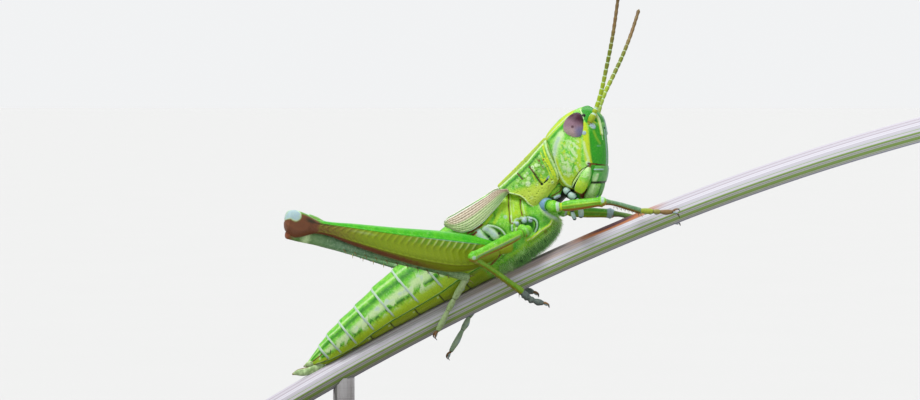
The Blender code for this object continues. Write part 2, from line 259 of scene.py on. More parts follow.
class Value:
    """A socket of a shader tree that Python operators extend with Math nodes."""

    def __init__(self, paint: "Paint", socket: bpy.types.NodeSocket) -> None:
        """Wrap an output socket of a paint's tree."""
        self.paint = paint
        self.socket = socket

    def _math(self, operation: str, other: object) -> "Value":
        """Return the result of a Math node on this value and another."""
        node = self.paint.node("ShaderNodeMath", {"operation": operation}, {0: self, 1: other})
        return Value(self.paint, node.outputs[0])

    def __add__(self, other: object) -> "Value":
        """Return the sum."""
        return self._math("ADD", other)

    __radd__ = __add__

    def __sub__(self, other: object) -> "Value":
        """Return the difference."""
        return self._math("SUBTRACT", other)

    def __rsub__(self, other: float) -> "Value":
        """Return a number less this value."""
        return self * -1.0 + other

    def __mul__(self, other: object) -> "Value":
        """Return the product."""
        return self._math("MULTIPLY", other)

    __rmul__ = __mul__

    def eased(self, low: float, high: float) -> "Value":
        """Return an eased ramp that is 0 at low and 1 at high."""
        settings = {"interpolation_type": "SMOOTHSTEP", "clamp": True}
        feeds = {"Value": self, "From Min": low, "From Max": high, "To Min": 0.0, "To Max": 1.0}
        return Value(self.paint, self.paint.node("ShaderNodeMapRange", settings, feeds).outputs["Result"])


Feed = Union[float, Sequence[float], Value, bpy.types.NodeSocket]


class Paint:
    """The node tree of one material, with the pieces of shader that the finishes share."""

    def __init__(self, name: str) -> None:
        """Start a material with only its Principled shader."""
        self.material = bpy.data.materials.new(name)
        self.material.use_nodes = True
        self.tree = self.material.node_tree
        self.shader = self.tree.nodes["Principled BSDF"]

    def node(self, kind: str, settings: Optional[dict] = None,
             feeds: Optional[dict] = None) -> bpy.types.Node:
        """Add a node.

        Args:
            kind: The node's type.
            settings: Its properties, set first.
            feeds: Numbers, colours, values or sockets for its inputs, by name or place.

        Returns:
            The new node.
        """
        made = self.tree.nodes.new(kind)
        for key, value in (settings or {}).items():
            setattr(made, key, value)
        for key, value in (feeds or {}).items():
            self.feed(made.inputs[key], value)
        return made

    def feed(self, target: bpy.types.NodeSocket, value: Feed) -> None:
        """Set a socket to a number or a colour, or link a value to it."""
        if isinstance(value, Value):
            value = value.socket
        if isinstance(value, bpy.types.NodeSocket):
            self.tree.links.new(value, target)
        elif isinstance(value, (tuple, list)) and target.type == "RGBA":
            target.default_value = (*value[:3], 1.0)
        else:
            target.default_value = value

    def place(self, scale: Sequence[float] = (1.0, 1.0, 1.0), source: str = "Object") -> Value:
        """Return a coordinate of the surface in millimetres (or its UV), stretched by a scale."""
        coordinate = self.node("ShaderNodeTexCoord").outputs[source]
        unit = 1.0 if source == "UV" else 1.0 / MM
        feeds = {"Vector": coordinate, "Scale": tuple(unit * share for share in scale)}
        mapping = self.node("ShaderNodeMapping", {"vector_type": "POINT"}, feeds)
        return Value(self, mapping.outputs[0])

    def noise(self, scale: float, at: Optional[Value] = None, detail: float = 3.0, rough: float = 0.55,
              bend: float = 0.0) -> Value:
        """Return a cloudy value of about 0 to 1; scale is the number of clouds in a millimetre."""
        feeds = {"Vector": at or self.place(), "Scale": scale, "Detail": detail, "Roughness": rough,
                 "Distortion": bend}
        return Value(self, self.node("ShaderNodeTexNoise", None, feeds).outputs[0])

    def cells(self, scale: float, jitter: float = 1.0) -> Value:
        """Return the distance pattern of a cell texture."""
        feeds = {"Vector": self.place(), "Scale": scale, "Randomness": jitter}
        return Value(self, self.node("ShaderNodeTexVoronoi", None, feeds).outputs["Distance"])

    def mark(self, name: str) -> Value:
        """Return a number that the surface carries at each point."""
        settings = {"attribute_type": "GEOMETRY", "attribute_name": name}
        return Value(self, self.node("ShaderNodeAttribute", settings).outputs["Fac"])

    def mix(self, under: Feed, over: Feed, share: Feed) -> bpy.types.NodeSocket:
        """Return one colour laid over another by a share."""
        settings = {"data_type": "RGBA", "clamp_factor": True}
        return self.node("ShaderNodeMix", settings, {0: share, 6: under, 7: over}).outputs[2]

    def bump(self, height: Value, depth: float) -> bpy.types.NodeSocket:
        """Return a normal for a height of a depth in millimetres."""
        return self.node("ShaderNodeBump", None, {"Height": height, "Distance": depth * MM}).outputs[0]

    def finish(self, **sockets: Feed) -> Finish:
        """Feed the Principled shader, by socket names with underscores for blanks."""
        for key, value in sockets.items():
            self.feed(self.shader.inputs[key.replace("_", " ")], value)
        return self.material


# ---------------------------------------------------------------- finishes


@dataclass(frozen=True)
class Cuticle:
    """Living insect cuticle: two greens in clouds, with markings laid over them and a waxy gloss."""

    name: str
    base: Colour
    light: Colour
    olive: Colour = (0.25, 0.3, 0.012)
    deep: Colour = (0.016, 0.18, 0.006)
    yellow: Colour = (0.5, 0.66, 0.02)
    pale: Colour = (0.56, 0.76, 0.38)
    blue: Colour = (0.33, 0.47, 0.52)
    rust: Colour = (0.21, 0.06, 0.018)
    ink: Colour = (0.01, 0.018, 0.008)
    clouds: float = 2.2
    speckle: float = 0.45
    pores: float = 0.25
    pits: float = 11.0
    pit_depth: float = 0.018
    roughness: float = 0.36

    def make(self) -> Finish:
        """Build the material."""
        paint = Paint(self.name)
        cloud = paint.noise(self.clouds, detail=4.0, rough=0.6, bend=0.4)
        fine = paint.noise(self.clouds * 5.0, detail=3.0)
        grain = paint.noise(self.pits * 1.1, detail=2.0)
        flakes = paint.noise(self.clouds * 2.2, detail=4.0, rough=0.7, bend=1.2)
        colour = paint.mix(self.base, self.light, (cloud * 0.7 + fine * 0.3).eased(0.36, 0.64))
        colour = paint.mix(colour, self.pale,
                           (flakes + (grain - 0.5) * 0.3).eased(0.53, 0.72) * self.speckle)
        colour = paint.mix(colour, self.deep, (flakes - (grain - 0.5) * 0.3).eased(0.45, 0.3) * self.speckle)
        ragged = (fine - 0.5) * 0.9 + (grain - 0.5) * 0.4
        for kind in Mark:
            amount = paint.mark(kind.value)
            share = (amount + ragged * amount).eased(0.08, 0.8)
            colour = paint.mix(colour, getattr(self, kind.name.lower()), share)
        dimples = paint.cells(self.pits)
        colour = paint.mix(colour, self.deep, dimples.eased(0.16, 0.04) * self.pores)
        colour = paint.mix(colour, self.ink, grain.eased(0.36, 0.24) * 0.35)
        height = dimples.eased(0.0, 0.45) * 0.8 + fine * 0.6 + grain * 0.2
        gloss = self.roughness + 0.16 * (fine - 0.5) + 0.1 * cloud
        return paint.finish(Base_Color=colour, Roughness=gloss, Normal=paint.bump(height, self.pit_depth),
                            Specular_IOR_Level=0.32)


@dataclass(frozen=True)
class EyeShine:
    """The compound eye: a dark purple crown that fades to mauve, violet and beige, under a net of facets."""

    name: str = "compound eye"
    crown: Colour = (0.055, 0.004, 0.022)
    mauve: Colour = (0.3, 0.175, 0.23)
    violet: Colour = (0.21, 0.2, 0.37)
    beige: Colour = (0.56, 0.4, 0.42)
    ring: Colour = (0.03, 0.018, 0.036)

    def make(self) -> Finish:
        """Build the material."""
        paint = Paint(self.name)
        cloud = paint.noise(2.5, detail=3.0)
        ahead = paint.mark("eye_front") + (cloud - 0.5) * 0.15
        low = paint.mix(self.beige, self.violet, ahead.eased(0.5, 0.85))
        level = paint.mark("eye_height") + (cloud - 0.5) * 0.12
        colour = paint.mix(low, self.mauve, level.eased(0.3, 0.6))
        colour = paint.mix(colour, self.crown, (level + ahead * 0.3).eased(0.72, 1.05))
        colour = paint.mix(colour, self.ring, paint.mark("eye_ring"))
        colour = paint.mix(colour, self.crown, paint.mark("eye_spot") * 0.8)
        facets = paint.cells(26.0, jitter=0.35)
        colour = paint.mix(colour, self.ring, facets.eased(0.3, 0.6) * 0.25)
        return paint.finish(Base_Color=colour, Roughness=0.46, Normal=paint.bump(facets * -1.0, 0.01),
                            Specular_IOR_Level=0.35)


@dataclass(frozen=True)
class DryStem:
    """A dry grass stem: lilac-white with pale, green and olive lines along it and a rusty streak."""

    name: str = "dry grass stem"
    white: Colour = (0.59, 0.58, 0.64)
    lilac: Colour = (0.33, 0.27, 0.32)
    beige: Colour = (0.48, 0.37, 0.32)
    green: Colour = (0.25, 0.39, 0.1)
    slate: Colour = (0.23, 0.27, 0.33)
    shade: Colour = (0.26, 0.25, 0.26)
    bright: Colour = (0.68, 0.67, 0.72)
    rust: Colour = (0.43, 0.14, 0.04)
    core: Colour = (0.08, 0.018, 0.03)

    def make(self) -> Finish:
        """Build the material."""
        paint = Paint(self.name)
        fibres = paint.noise(1.0, paint.place((130.0, 14.0, 1.0), "UV"), detail=5.0, rough=0.65)
        broad = paint.noise(1.0, paint.place((34.0, 5.0, 1.0), "UV"), detail=3.0)
        names = ("beige", "lilac", "shade", "green", "rust", "core")
        marks = {name: paint.mark(f"stem_{name}") for name in names}
        colour = self.white
        for over, share in (
            (self.beige, (marks["beige"] * (0.5 + broad)).eased(0.1, 0.9) * 0.8),
            (self.lilac, (marks["lilac"] * (0.5 + broad)).eased(0.15, 0.95) * 0.75),
            (self.slate, marks["shade"] * 0.8),
            (self.green, (marks["green"] * (0.6 + 0.8 * broad)).eased(0.18, 0.75)),
            (self.shade, fibres.eased(0.52, 0.7) * 0.38),
            (self.bright, fibres.eased(0.46, 0.34) * 0.45),
            (self.rust, (marks["rust"] * (0.5 + fibres)).eased(0.2, 0.75)),
            (self.core, (marks["core"] * (0.5 + fibres)).eased(0.25, 0.8)),
        ):
            colour = paint.mix(colour, over, share)
        height = fibres * 0.7 + broad * 0.3
        return paint.finish(Base_Color=colour, Roughness=0.5 + 0.2 * fibres,
                            Normal=paint.bump(height, 0.05), Specular_IOR_Level=0.4)


@dataclass(frozen=True)
class StainedWood:
    """Dark stained wood with long grain and a satin varnish."""

    name: str = "stained wood"
    dark: Colour = (0.03, 0.016, 0.01)
    warm: Colour = (0.115, 0.055, 0.028)

    def make(self) -> Finish:
        """Build the material."""
        paint = Paint(self.name)
        grain = paint.noise(1.0, paint.place((0.09, 1.1, 1.1)), detail=6.0, rough=0.7, bend=0.6)
        pores = paint.noise(1.0, paint.place((0.5, 9.0, 9.0)), detail=3.0)
        colour = paint.mix(self.dark, self.warm, grain.eased(0.34, 0.66))
        colour = paint.mix(colour, self.dark, pores.eased(0.58, 0.72) * 0.6)
        return paint.finish(Base_Color=colour, Roughness=0.3 + 0.2 * pores,
                            Normal=paint.bump(pores + grain, 0.04), Coat_Weight=0.25, Coat_Roughness=0.2)


@dataclass(frozen=True)
class BrushedSteel:
    """Steel rod with fine marks round it."""

    name: str = "brushed steel"
    tone: Colour = (0.6, 0.6, 0.61)
    dull: Colour = (0.4, 0.4, 0.42)

    def make(self) -> Finish:
        """Build the material."""
        paint = Paint(self.name)
        rings = paint.noise(1.0, paint.place((0.6, 0.6, 26.0)), detail=4.0)
        colour = paint.mix(self.tone, self.dull, rings.eased(0.45, 0.75) * 0.5)
        return paint.finish(Base_Color=colour, Metallic=1.0, Roughness=0.22 + 0.22 * rings,
                            Normal=paint.bump(rings, 0.01))


@dataclass(frozen=True)
class StudioFloor:
    """Plain pale matt board."""

    name: str = "pale board"
    tone: Colour = (0.585, 0.585, 0.58)
    shade: float = 0.985

    def make(self) -> Finish:
        """Build the material."""
        paint = Paint(self.name)
        grain = paint.noise(0.08, detail=2.0)
        colour = paint.mix(self.tone, tuple(self.shade * part for part in self.tone), grain)
        return paint.finish(Base_Color=colour, Roughness=0.9, Specular_IOR_Level=0.1)


# ---------------------------------------------------------------- making skins


class Skin:
    """A fine surface in one of the insect's frames, with relief and marks, that becomes one piece."""

    WELD = 1e-4
    NEIGHBOURS = 6

    def __init__(self, name: str, axes: Axes, around: int, along: int, place: Place,
                 wrap: bool = True) -> None:
        """Map a fine grid onto a shape.

        Args:
            name: The piece's name.
            axes: The frame that the shape is in.
            around: Faces across the grid; the two edges are welded where the shape closes.
            along: Faces along the grid.
            place: Gives points for shares across and along.
            wrap: Whether the open ends are closed.
        """
        self.name = name
        self.axes = axes
        shape = bmesh.new()
        bmesh.ops.create_grid(shape, x_segments=around, y_segments=along, size=0.5, calc_uvs=True)
        self.mesh = bpy.data.meshes.new(name)
        shape.to_mesh(self.mesh)
        flat = self._read("position", 3)
        across, lengthwise = flat[:, 0] + 0.5, flat[:, 1] + 0.5
        self._write("position", place(across, lengthwise))
        self._write("grid_across", across)
        self._write("grid_along", lengthwise)
        shape.clear()
        shape.from_mesh(self.mesh)
        bmesh.ops.remove_doubles(shape, verts=shape.verts, dist=self.WELD)
        if wrap:
            rims = [edge for edge in shape.edges if edge.is_boundary]
            bmesh.ops.holes_fill(shape, edges=rims, sides=0)
        bmesh.ops.recalc_face_normals(shape, faces=shape.faces)
        shape.to_mesh(self.mesh)
        shape.free()
        self._measure()

    @classmethod
    def ball(cls, name: str, axes: Axes, detail: int, shape_it: Callable[[Array], Array]) -> "Skin":
        """Map a fine ball onto a shape, given a function from unit directions to points.

        Args:
            name: The piece's name.
            axes: The frame that the shape is in.
            detail: How often the ball is divided.
            shape_it: Gives points for unit directions.

        Returns:
            The skin, with no grid shares.
        """
        made = cls.__new__(cls)
        made.name, made.axes = name, axes
        shape = bmesh.new()
        bmesh.ops.create_icosphere(shape, subdivisions=detail, radius=1.0, calc_uvs=True)
        made.mesh = bpy.data.meshes.new(name)
        shape.to_mesh(made.mesh)
        shape.free()
        made._write("position", shape_it(made._read("position", 3)))
        made._write("grid_across", np.zeros(len(made.mesh.vertices)))
        made._write("grid_along", np.zeros(len(made.mesh.vertices)))
        made._measure()
        return made

    def _read(self, attribute: str, width: int = 1) -> Array:
        """Return one attribute of the mesh's points."""
        held = np.zeros(len(self.mesh.vertices) * width, np.float32)
        self.mesh.attributes[attribute].data.foreach_get("vector" if width == 3 else "value", held)
        return held.reshape(-1, width).astype(float) if width > 1 else held.astype(float)

    def _write(self, attribute: str, values: Array) -> None:
        """Set one attribute of the mesh's points, making it if it is new."""
        wide = np.ndim(values) > 1
        if attribute not in self.mesh.attributes:
            self.mesh.attributes.new(attribute, "FLOAT_VECTOR" if wide else "FLOAT", "POINT")
        held = np.ascontiguousarray(values, np.float32).ravel()
        self.mesh.attributes[attribute].data.foreach_set("vector" if wide else "value", held)

    def _measure(self) -> None:
        """Take the welded points and start with no relief and no marks."""
        self.mesh.update()
        self.points = self._read("position", 3)
        self.across = self._read("grid_across")
        self.along = self._read("grid_along")
        self.relief = np.zeros(len(self.points))
        self.marks: dict[str, Array] = {}
        self._tree: Optional[KDTree] = None

    @property
    def folded(self) -> Array:
        """Return the points with both sides laid on the left one."""
        return self.points * (1.0, 0.0, 1.0) + np.abs(self.points) * (0.0, 1.0, 0.0)

    def onto(self, route: Route, spacing: float = 0.12) -> Array:
        """Return a route given as (forward, up) laid on the flank, as folded points.

        A route whose points have three numbers is (forward, side, up) already.
        """
        route = np.asarray(route, float)
        length = np.linalg.norm(np.diff(route, axis=0), axis=1).sum()
        dense = resample(route, max(2, int(length / spacing) + 1)) if len(route) > 1 else route
        if dense.shape[1] == 3:
            return dense
        if self._tree is None:
            flank = self.folded
            self._tree = KDTree(len(flank))
            for index, (forward, beside, up) in enumerate(flank):
                self._tree.insert((forward, up, 0.0), index)
            self._tree.balance()
        laid = []
        for forward, up in dense:
            near = self._tree.find_n((forward, up, 0.0), self.NEIGHBOURS)
            beside = max(abs(self.points[index][1]) for _, index, _ in near)
            laid.append((forward, beside, up))
        return np.array(laid)

    def nearness(self, route: Array, reach: float, edge: float) -> tuple[Array, Array]:
        """Return the points within reach of a route, and how near each is from 0 to 1.

        Args:
            route: Folded points of the route.
            reach: Half the width in millimetres.
            edge: Share of the half width that the soft edge takes.
        """
        flank = self.folded
        low, high = route.min(0) - reach, route.max(0) + reach
        chosen = np.flatnonzero(((flank >= low) & (flank <= high)).all(1))
        if len(chosen) == 0:
            return chosen, np.zeros(0)
        if len(route) == 1:
            gaps = np.linalg.norm(flank[chosen] - route[0], axis=1)
        else:
            gaps = distance_to_line(flank[chosen], route)
        return chosen, smooth_step((1.0 - gaps / reach) / edge)

    def lay(self, mark: Kind, chosen: Array, share: Array, lift: float = 0.0) -> None:
        """Lay a mark on chosen points and lift them by millimetres.

        Args:
            mark: The marking, or none for relief alone.
            chosen: Indices of the points.
            share: How strong the mark is at each of them, from 0 to 1.
            lift: Relief in millimetres at a full share.
        """
        if mark is not None:
            key = mark.value if isinstance(mark, Mark) else mark
            held = self.marks.setdefault(key, np.zeros(len(self.points)))
            held[chosen] = np.maximum(held[chosen], share)
        if lift:
            self.relief[chosen] += lift * share

    def line(self, mark: Kind, route: Route, width: float,
             share: float = 1.0, lift: float = 0.0, edge: float = 0.6) -> None:
        """Draw a line of a width along a route on both flanks."""
        chosen, near = self.nearness(self.onto(route), width / 2, edge)
        self.lay(mark, chosen, near * share, lift)

    def spot(self, mark: Kind, centre: Sequence[float], radius: float,
             share: float = 1.0, lift: float = 0.0, edge: float = 0.6) -> None:
        """Draw a round spot on both flanks."""
        chosen, near = self.nearness(self.onto([centre]), radius, edge)
        self.lay(mark, chosen, near * share, lift)

    def wash(self, mark: Kind, share: Union[float, Array], lift: float = 0.0) -> None:
        """Lay a mark over all points by one share, or by a share for each."""
        self.lay(mark, np.arange(len(self.points)), np.clip(share, 0.0, 1.0), lift)

    def normals(self) -> Array:
        """Return the smooth normals of the present points."""
        held = np.zeros(len(self.mesh.vertices) * 3, np.float32)
        self.mesh.vertex_normals.foreach_get("vector", held)
        return held.reshape(-1, 3).astype(float)

    def piece(self, material: Finish, slot: str,
              replaced: Sequence[str] = ()) -> bpy.types.Object:
        """Apply the relief, move the surface into the model's frame and make it a piece.

        Args:
            material: Its finish.
            slot: Not used.
            replaced: CAD nodes that it stands for.

        Returns:
            The piece, riding on the model's one body.
        """
        moved = self.points + self.normals() * self.relief[:, None]
        self._write("position", self.axes.out(moved) * MM)
        for key, values in self.marks.items():
            self._write(key, values)
        for spare in ("grid_across", "grid_along"):
            self.mesh.attributes.remove(self.mesh.attributes[spare])
        self.mesh.update()
        self.mesh.shade_smooth()
        return mount(self.name, self.mesh, material, replaced)


def mount(name: str, mesh: bpy.types.Mesh, material: Finish,
          replaced: Sequence[str] = ()) -> bpy.types.Object:
    """Link a finished mesh as a piece that rides on the model's one body.

    Args:
        name: The piece's name.
        mesh: Its mesh, in metres.
        material: Its finish.
        replaced: CAD nodes that it stands for.

    Returns:
        The piece.
    """
    mesh.materials.append(material)
    made = bpy.data.objects.new(name, mesh)
    bpy.context.scene.collection.objects.link(made)
    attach(made, "root")
    if replaced:
        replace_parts(made, *replaced)
    LOG.info("%s: %d faces", name, len(mesh.polygons))
    return made


def join(name: str, pieces: Sequence[bpy.types.Object]) -> bpy.types.Object:
    """Join pieces of one finish into the first of them.

    Args:
        name: The joined piece's name.
        pieces: The pieces, at least one.

    Returns:
        The joined piece.
    """
    first = pieces[0]
    with bpy.context.temp_override(active_object=first, selected_editable_objects=list(pieces),
                                   selected_objects=list(pieces)):
        bpy.ops.object.join()
    first.name = first.data.name = name
    return first


def frame_along(points: Array, up_hint: Sequence[float]) -> tuple[Array, Array, Array]:
    """Return forward, up and side directions at each point of a route.

    Args:
        points: Points of the route.
        up_hint: The direction that the upper side faces.

    Returns:
        Three rows of unit directions.
    """
    forward = np.gradient(points, axis=0)
    forward /= np.linalg.norm(forward, axis=1)[:, None]
    side = np.cross(np.asarray(up_hint, float), forward)
    side /= np.linalg.norm(side, axis=1)[:, None]
    up = np.cross(forward, side)
    return forward, up, side


def frames_at(points: Array, up_hint: Sequence[float], shares: Array) -> list[Array]:
    """Return the centres and the forward, up and side directions at shares of a route's length.

    Args:
        points: Points of the route, evenly spread.
        up_hint: The direction that the upper side faces.
        shares: Places on it, from 0 to 1.

    Returns:
        Four rows: the centres, forward, up and side.
    """
    stations = np.linspace(0.0, 1.0, len(points))
    columns = np.hstack([points, *frame_along(points, up_hint)]).T
    return np.hsplit(np.stack([np.interp(shares, stations, column) for column in columns], 1), 4)


@dataclass(frozen=True)
class Girth:
    """A place along a limb: its share of the length, its half height and half width, and how far it sags."""

    share: float
    height: float
    width: float
    drop: float = 0.0


LIMB_CAP = 0.05


def along_limb(share: Array) -> Array:
    """Return shares of a limb's centre line for shares along its skin, whose ends are rounded."""
    return np.clip((share - LIMB_CAP) / (1.0 - 2.0 * LIMB_CAP), 0.0, 1.0)


def girths(size: float, *rows: Sequence[float]) -> tuple[Girth, ...]:
    """Return girths from rows of a share, a height, a width if it is another, and a drop.

    The height and the width are in parts of the size.
    """
    full = [(*row, row[1]) if len(row) == 2 else row for row in rows]
    return tuple(Girth(share, size * height, size * width, *drop) for share, height, width, *drop in full)


def limb_skin(name: str, route: Route, sizes: Sequence[Girth], up_hint: Sequence[float], around: int = 36,
              along: int = 110, squareness: float = 1.0, axes: Axes = LEVEL, end_round: float = 0.6) -> Skin:
    """Return a skin drawn along a route, closed by rounded ends.

    Args:
        name: The piece's name.
        route: Points of the centre line in millimetres.
        sizes: Girths along it.
        up_hint: The direction that its upper side faces.
        around: Faces round it.
        along: Faces along it.
        squareness: Power under 1 that fills the section's corners.
        axes: The frame that the route is in.
        end_round: How far each end bulges, as a share of its half width.

    Returns:
        The skin; its across share is 0 at the upper side and rises towards its side direction.
    """
    fine = resample(route, 200)
    shares = [girth.share for girth in sizes]
    numbers = [(girth.height, girth.width, girth.drop) for girth in sizes]

    def place(across: Array, lengthwise: Array) -> Array:
        """Return points for shares across and along."""
        inner = along_limb(lengthwise)
        closing = np.clip(np.minimum(lengthwise, 1.0 - lengthwise) / LIMB_CAP, 0.0, 1.0)
        shrink = rounded_end(closing)
        size = curve_through(shares, numbers, inner)
        beyond = np.where(lengthwise < 0.5, -1.0, 1.0) * (1.0 - closing) * size[:, 1] * end_round
        centre, ahead, above, beside = frames_at(fine, up_hint, inner)
        angle = 2.0 * math.pi * across
        high = signed_power(np.cos(angle), squareness) * size[:, 0] * shrink
        wide = signed_power(np.sin(angle), squareness) * size[:, 1] * shrink
        return (centre + ahead * beyond[:, None] + above * (high - size[:, 2])[:, None]
                + beside * wide[:, None])

    return Skin(name, axes, around, along, place)


# ---------------------------------------------------------------- where things are


def corner(node: str) -> Array:
    """Return the lowest corner of a CAD node's box in millimetres."""
    return np.array(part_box(node)[0]) / MM


@dataclass(frozen=True)
class Layout:
    """The insect's own frames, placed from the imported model's boxes."""

    pitch: float = 38.0
    head_turn: float = 20.0
    tail_from_abdomen: tuple[float, float] = (-0.753, -0.391)
    neck_from_head: tuple[float, float] = (0.426, 2.22)

    def body(self) -> Axes:
        """Return the body's frame: its origin at the tail end of the axis."""
        low = corner("abdomen")
        return Axes.pitched((low[0] + self.tail_from_abdomen[0], 0.0, low[2] + self.tail_from_abdomen[1]),
                            self.pitch)

    def head(self) -> Axes:
        """Return the head's frame: its origin in the neck."""
        low = corner("head")
        return Axes.turned((low[0] + self.neck_from_head[0], 0.0, low[2] + self.neck_from_head[1]),
                           self.head_turn)


@dataclass(frozen=True)
class Section:
    """A cross-section of the body: its top and bottom points along and over the axis, and its half width."""

    top_along: float
    top_above: float
    bottom_along: float
    bottom_above: float
    half_width: float


def ring_place(sections: Sequence[Section], squareness: float, lip: float = 0.0, tuck: float = 0.0,
               skirt: float = 0.0) -> Place:
    """Return a mapping of shares round and along onto a body drawn through sections.

    Args:
        sections: Cross-sections from tail to head.
        squareness: Power under 1 that fills the sections' corners.
        lip: Share of the length at each end that turns inwards.
        tuck: How far a lip goes in, as a share of the section.
        skirt: How much squarer the sections' lower halves are.
    """
    stations = np.array([(s.top_along + s.bottom_along) / 2 for s in sections])
    numbers = [astuple(section) for section in sections]

    def place(across: Array, along: Array) -> Array:
        """Return points for shares across and along."""
        inner = np.clip((along - lip) / max(1.0 - 2.0 * lip, 1e-6), 0.0, 1.0)
        size = curve_through(stations, numbers, stations[0] + inner * (stations[-1] - stations[0]))
        edge = np.clip(np.minimum(along, 1.0 - along) / max(lip, 1e-6), 0.0, 1.0)
        shrink = 1.0 - tuck * (1.0 - edge) if lip else np.ones_like(along)
        angle = 2.0 * math.pi * across
        power = np.where(np.cos(angle) < 0.0, squareness - skirt, squareness)
        high = signed_power(np.cos(angle), power) * shrink
        wide = signed_power(np.sin(angle), power) * shrink
        mid_s, mid_h = (size[:, 0] + size[:, 2]) / 2, (size[:, 1] + size[:, 3]) / 2
        half_s, half_h = (size[:, 0] - size[:, 2]) / 2, (size[:, 1] - size[:, 3]) / 2
        return np.stack([mid_s + half_s * high, size[:, 4] * wide, mid_h + half_h * high], 1)

    return place


# ---------------------------------------------------------------- trunk


@dataclass
class Coat:
    """Fine hairs over part of a skin, in one mesh, with the marks of the skin at their roots."""

    name: str
    count: int
    length: float
    radius: float = 0.011
    hang: Point = (-0.3, 0.0, -1.3)
    tangle: float = 0.28
    uneven: tuple[float, float] = (0.6, 1.25)
    sunk: float = 0.02
    jitter: float = 0.03
    sides: int = 4
    patch: float = 0.003
    seed: int = 11

    def build(self, skin: "Skin", where: Array, finish: Finish) -> bpy.types.Object:
        """Stand the hairs on a skin.

        Args:
            skin: The skin, before it becomes a piece.
            where: How thick the hairs stand at each of its points, from 0 to 1.
            finish: Their finish.

        Returns:
            The piece, with a map of one small patch for each hair at its root's place on the skin.
        """
        chance = np.random.default_rng(self.seed)
        roots = chance.choice(len(skin.points), self.count, replace=False, p=where / where.sum())
        normals = skin.normals()[roots]
        bases = skin.points[roots] + normals * (skin.relief[roots] - self.sunk)[:, None]
        bases[:, 0] += chance.uniform(-self.jitter, self.jitter, self.count)
        aims = normals + np.array(self.hang) + chance.normal(0.0, self.tangle, (self.count, 3))
        lengths = self.length * chance.uniform(*self.uneven, self.count)
        feet = skin.axes.out(bases)
        ways = skin.axes.out(bases + aims) - feet
        shape = Spikes(self.name, self.sides)
        for foot, way, length in zip(feet, ways, lengths):
            shape.add(foot, way, length, self.radius)
        whole = shape.piece(finish, "green_cuticle")
        mesh = whole.data
        owner = np.repeat(np.arange(self.count), 2 * self.sides)
        for key, values in skin.marks.items():
            mesh.attributes.new(key, "FLOAT", "POINT")
            mesh.attributes[key].data.foreach_set("value", values[roots][owner].astype(np.float32))
        corners = np.zeros(len(mesh.loops), np.int32)
        mesh.loops.foreach_get("vertex_index", corners)
        turn = 2.0 * math.pi * (corners % (2 * self.sides)) / (2 * self.sides)
        spots = np.stack([skin.across[roots], skin.along[roots]], 1)[owner[corners]]
        spots += 0.5 * self.patch * np.stack([np.cos(turn), np.sin(turn)], 1)
        mesh.uv_layers.new(name="OFBake").uv.foreach_set("vector", spots.astype(np.float32).ravel())
        return whole


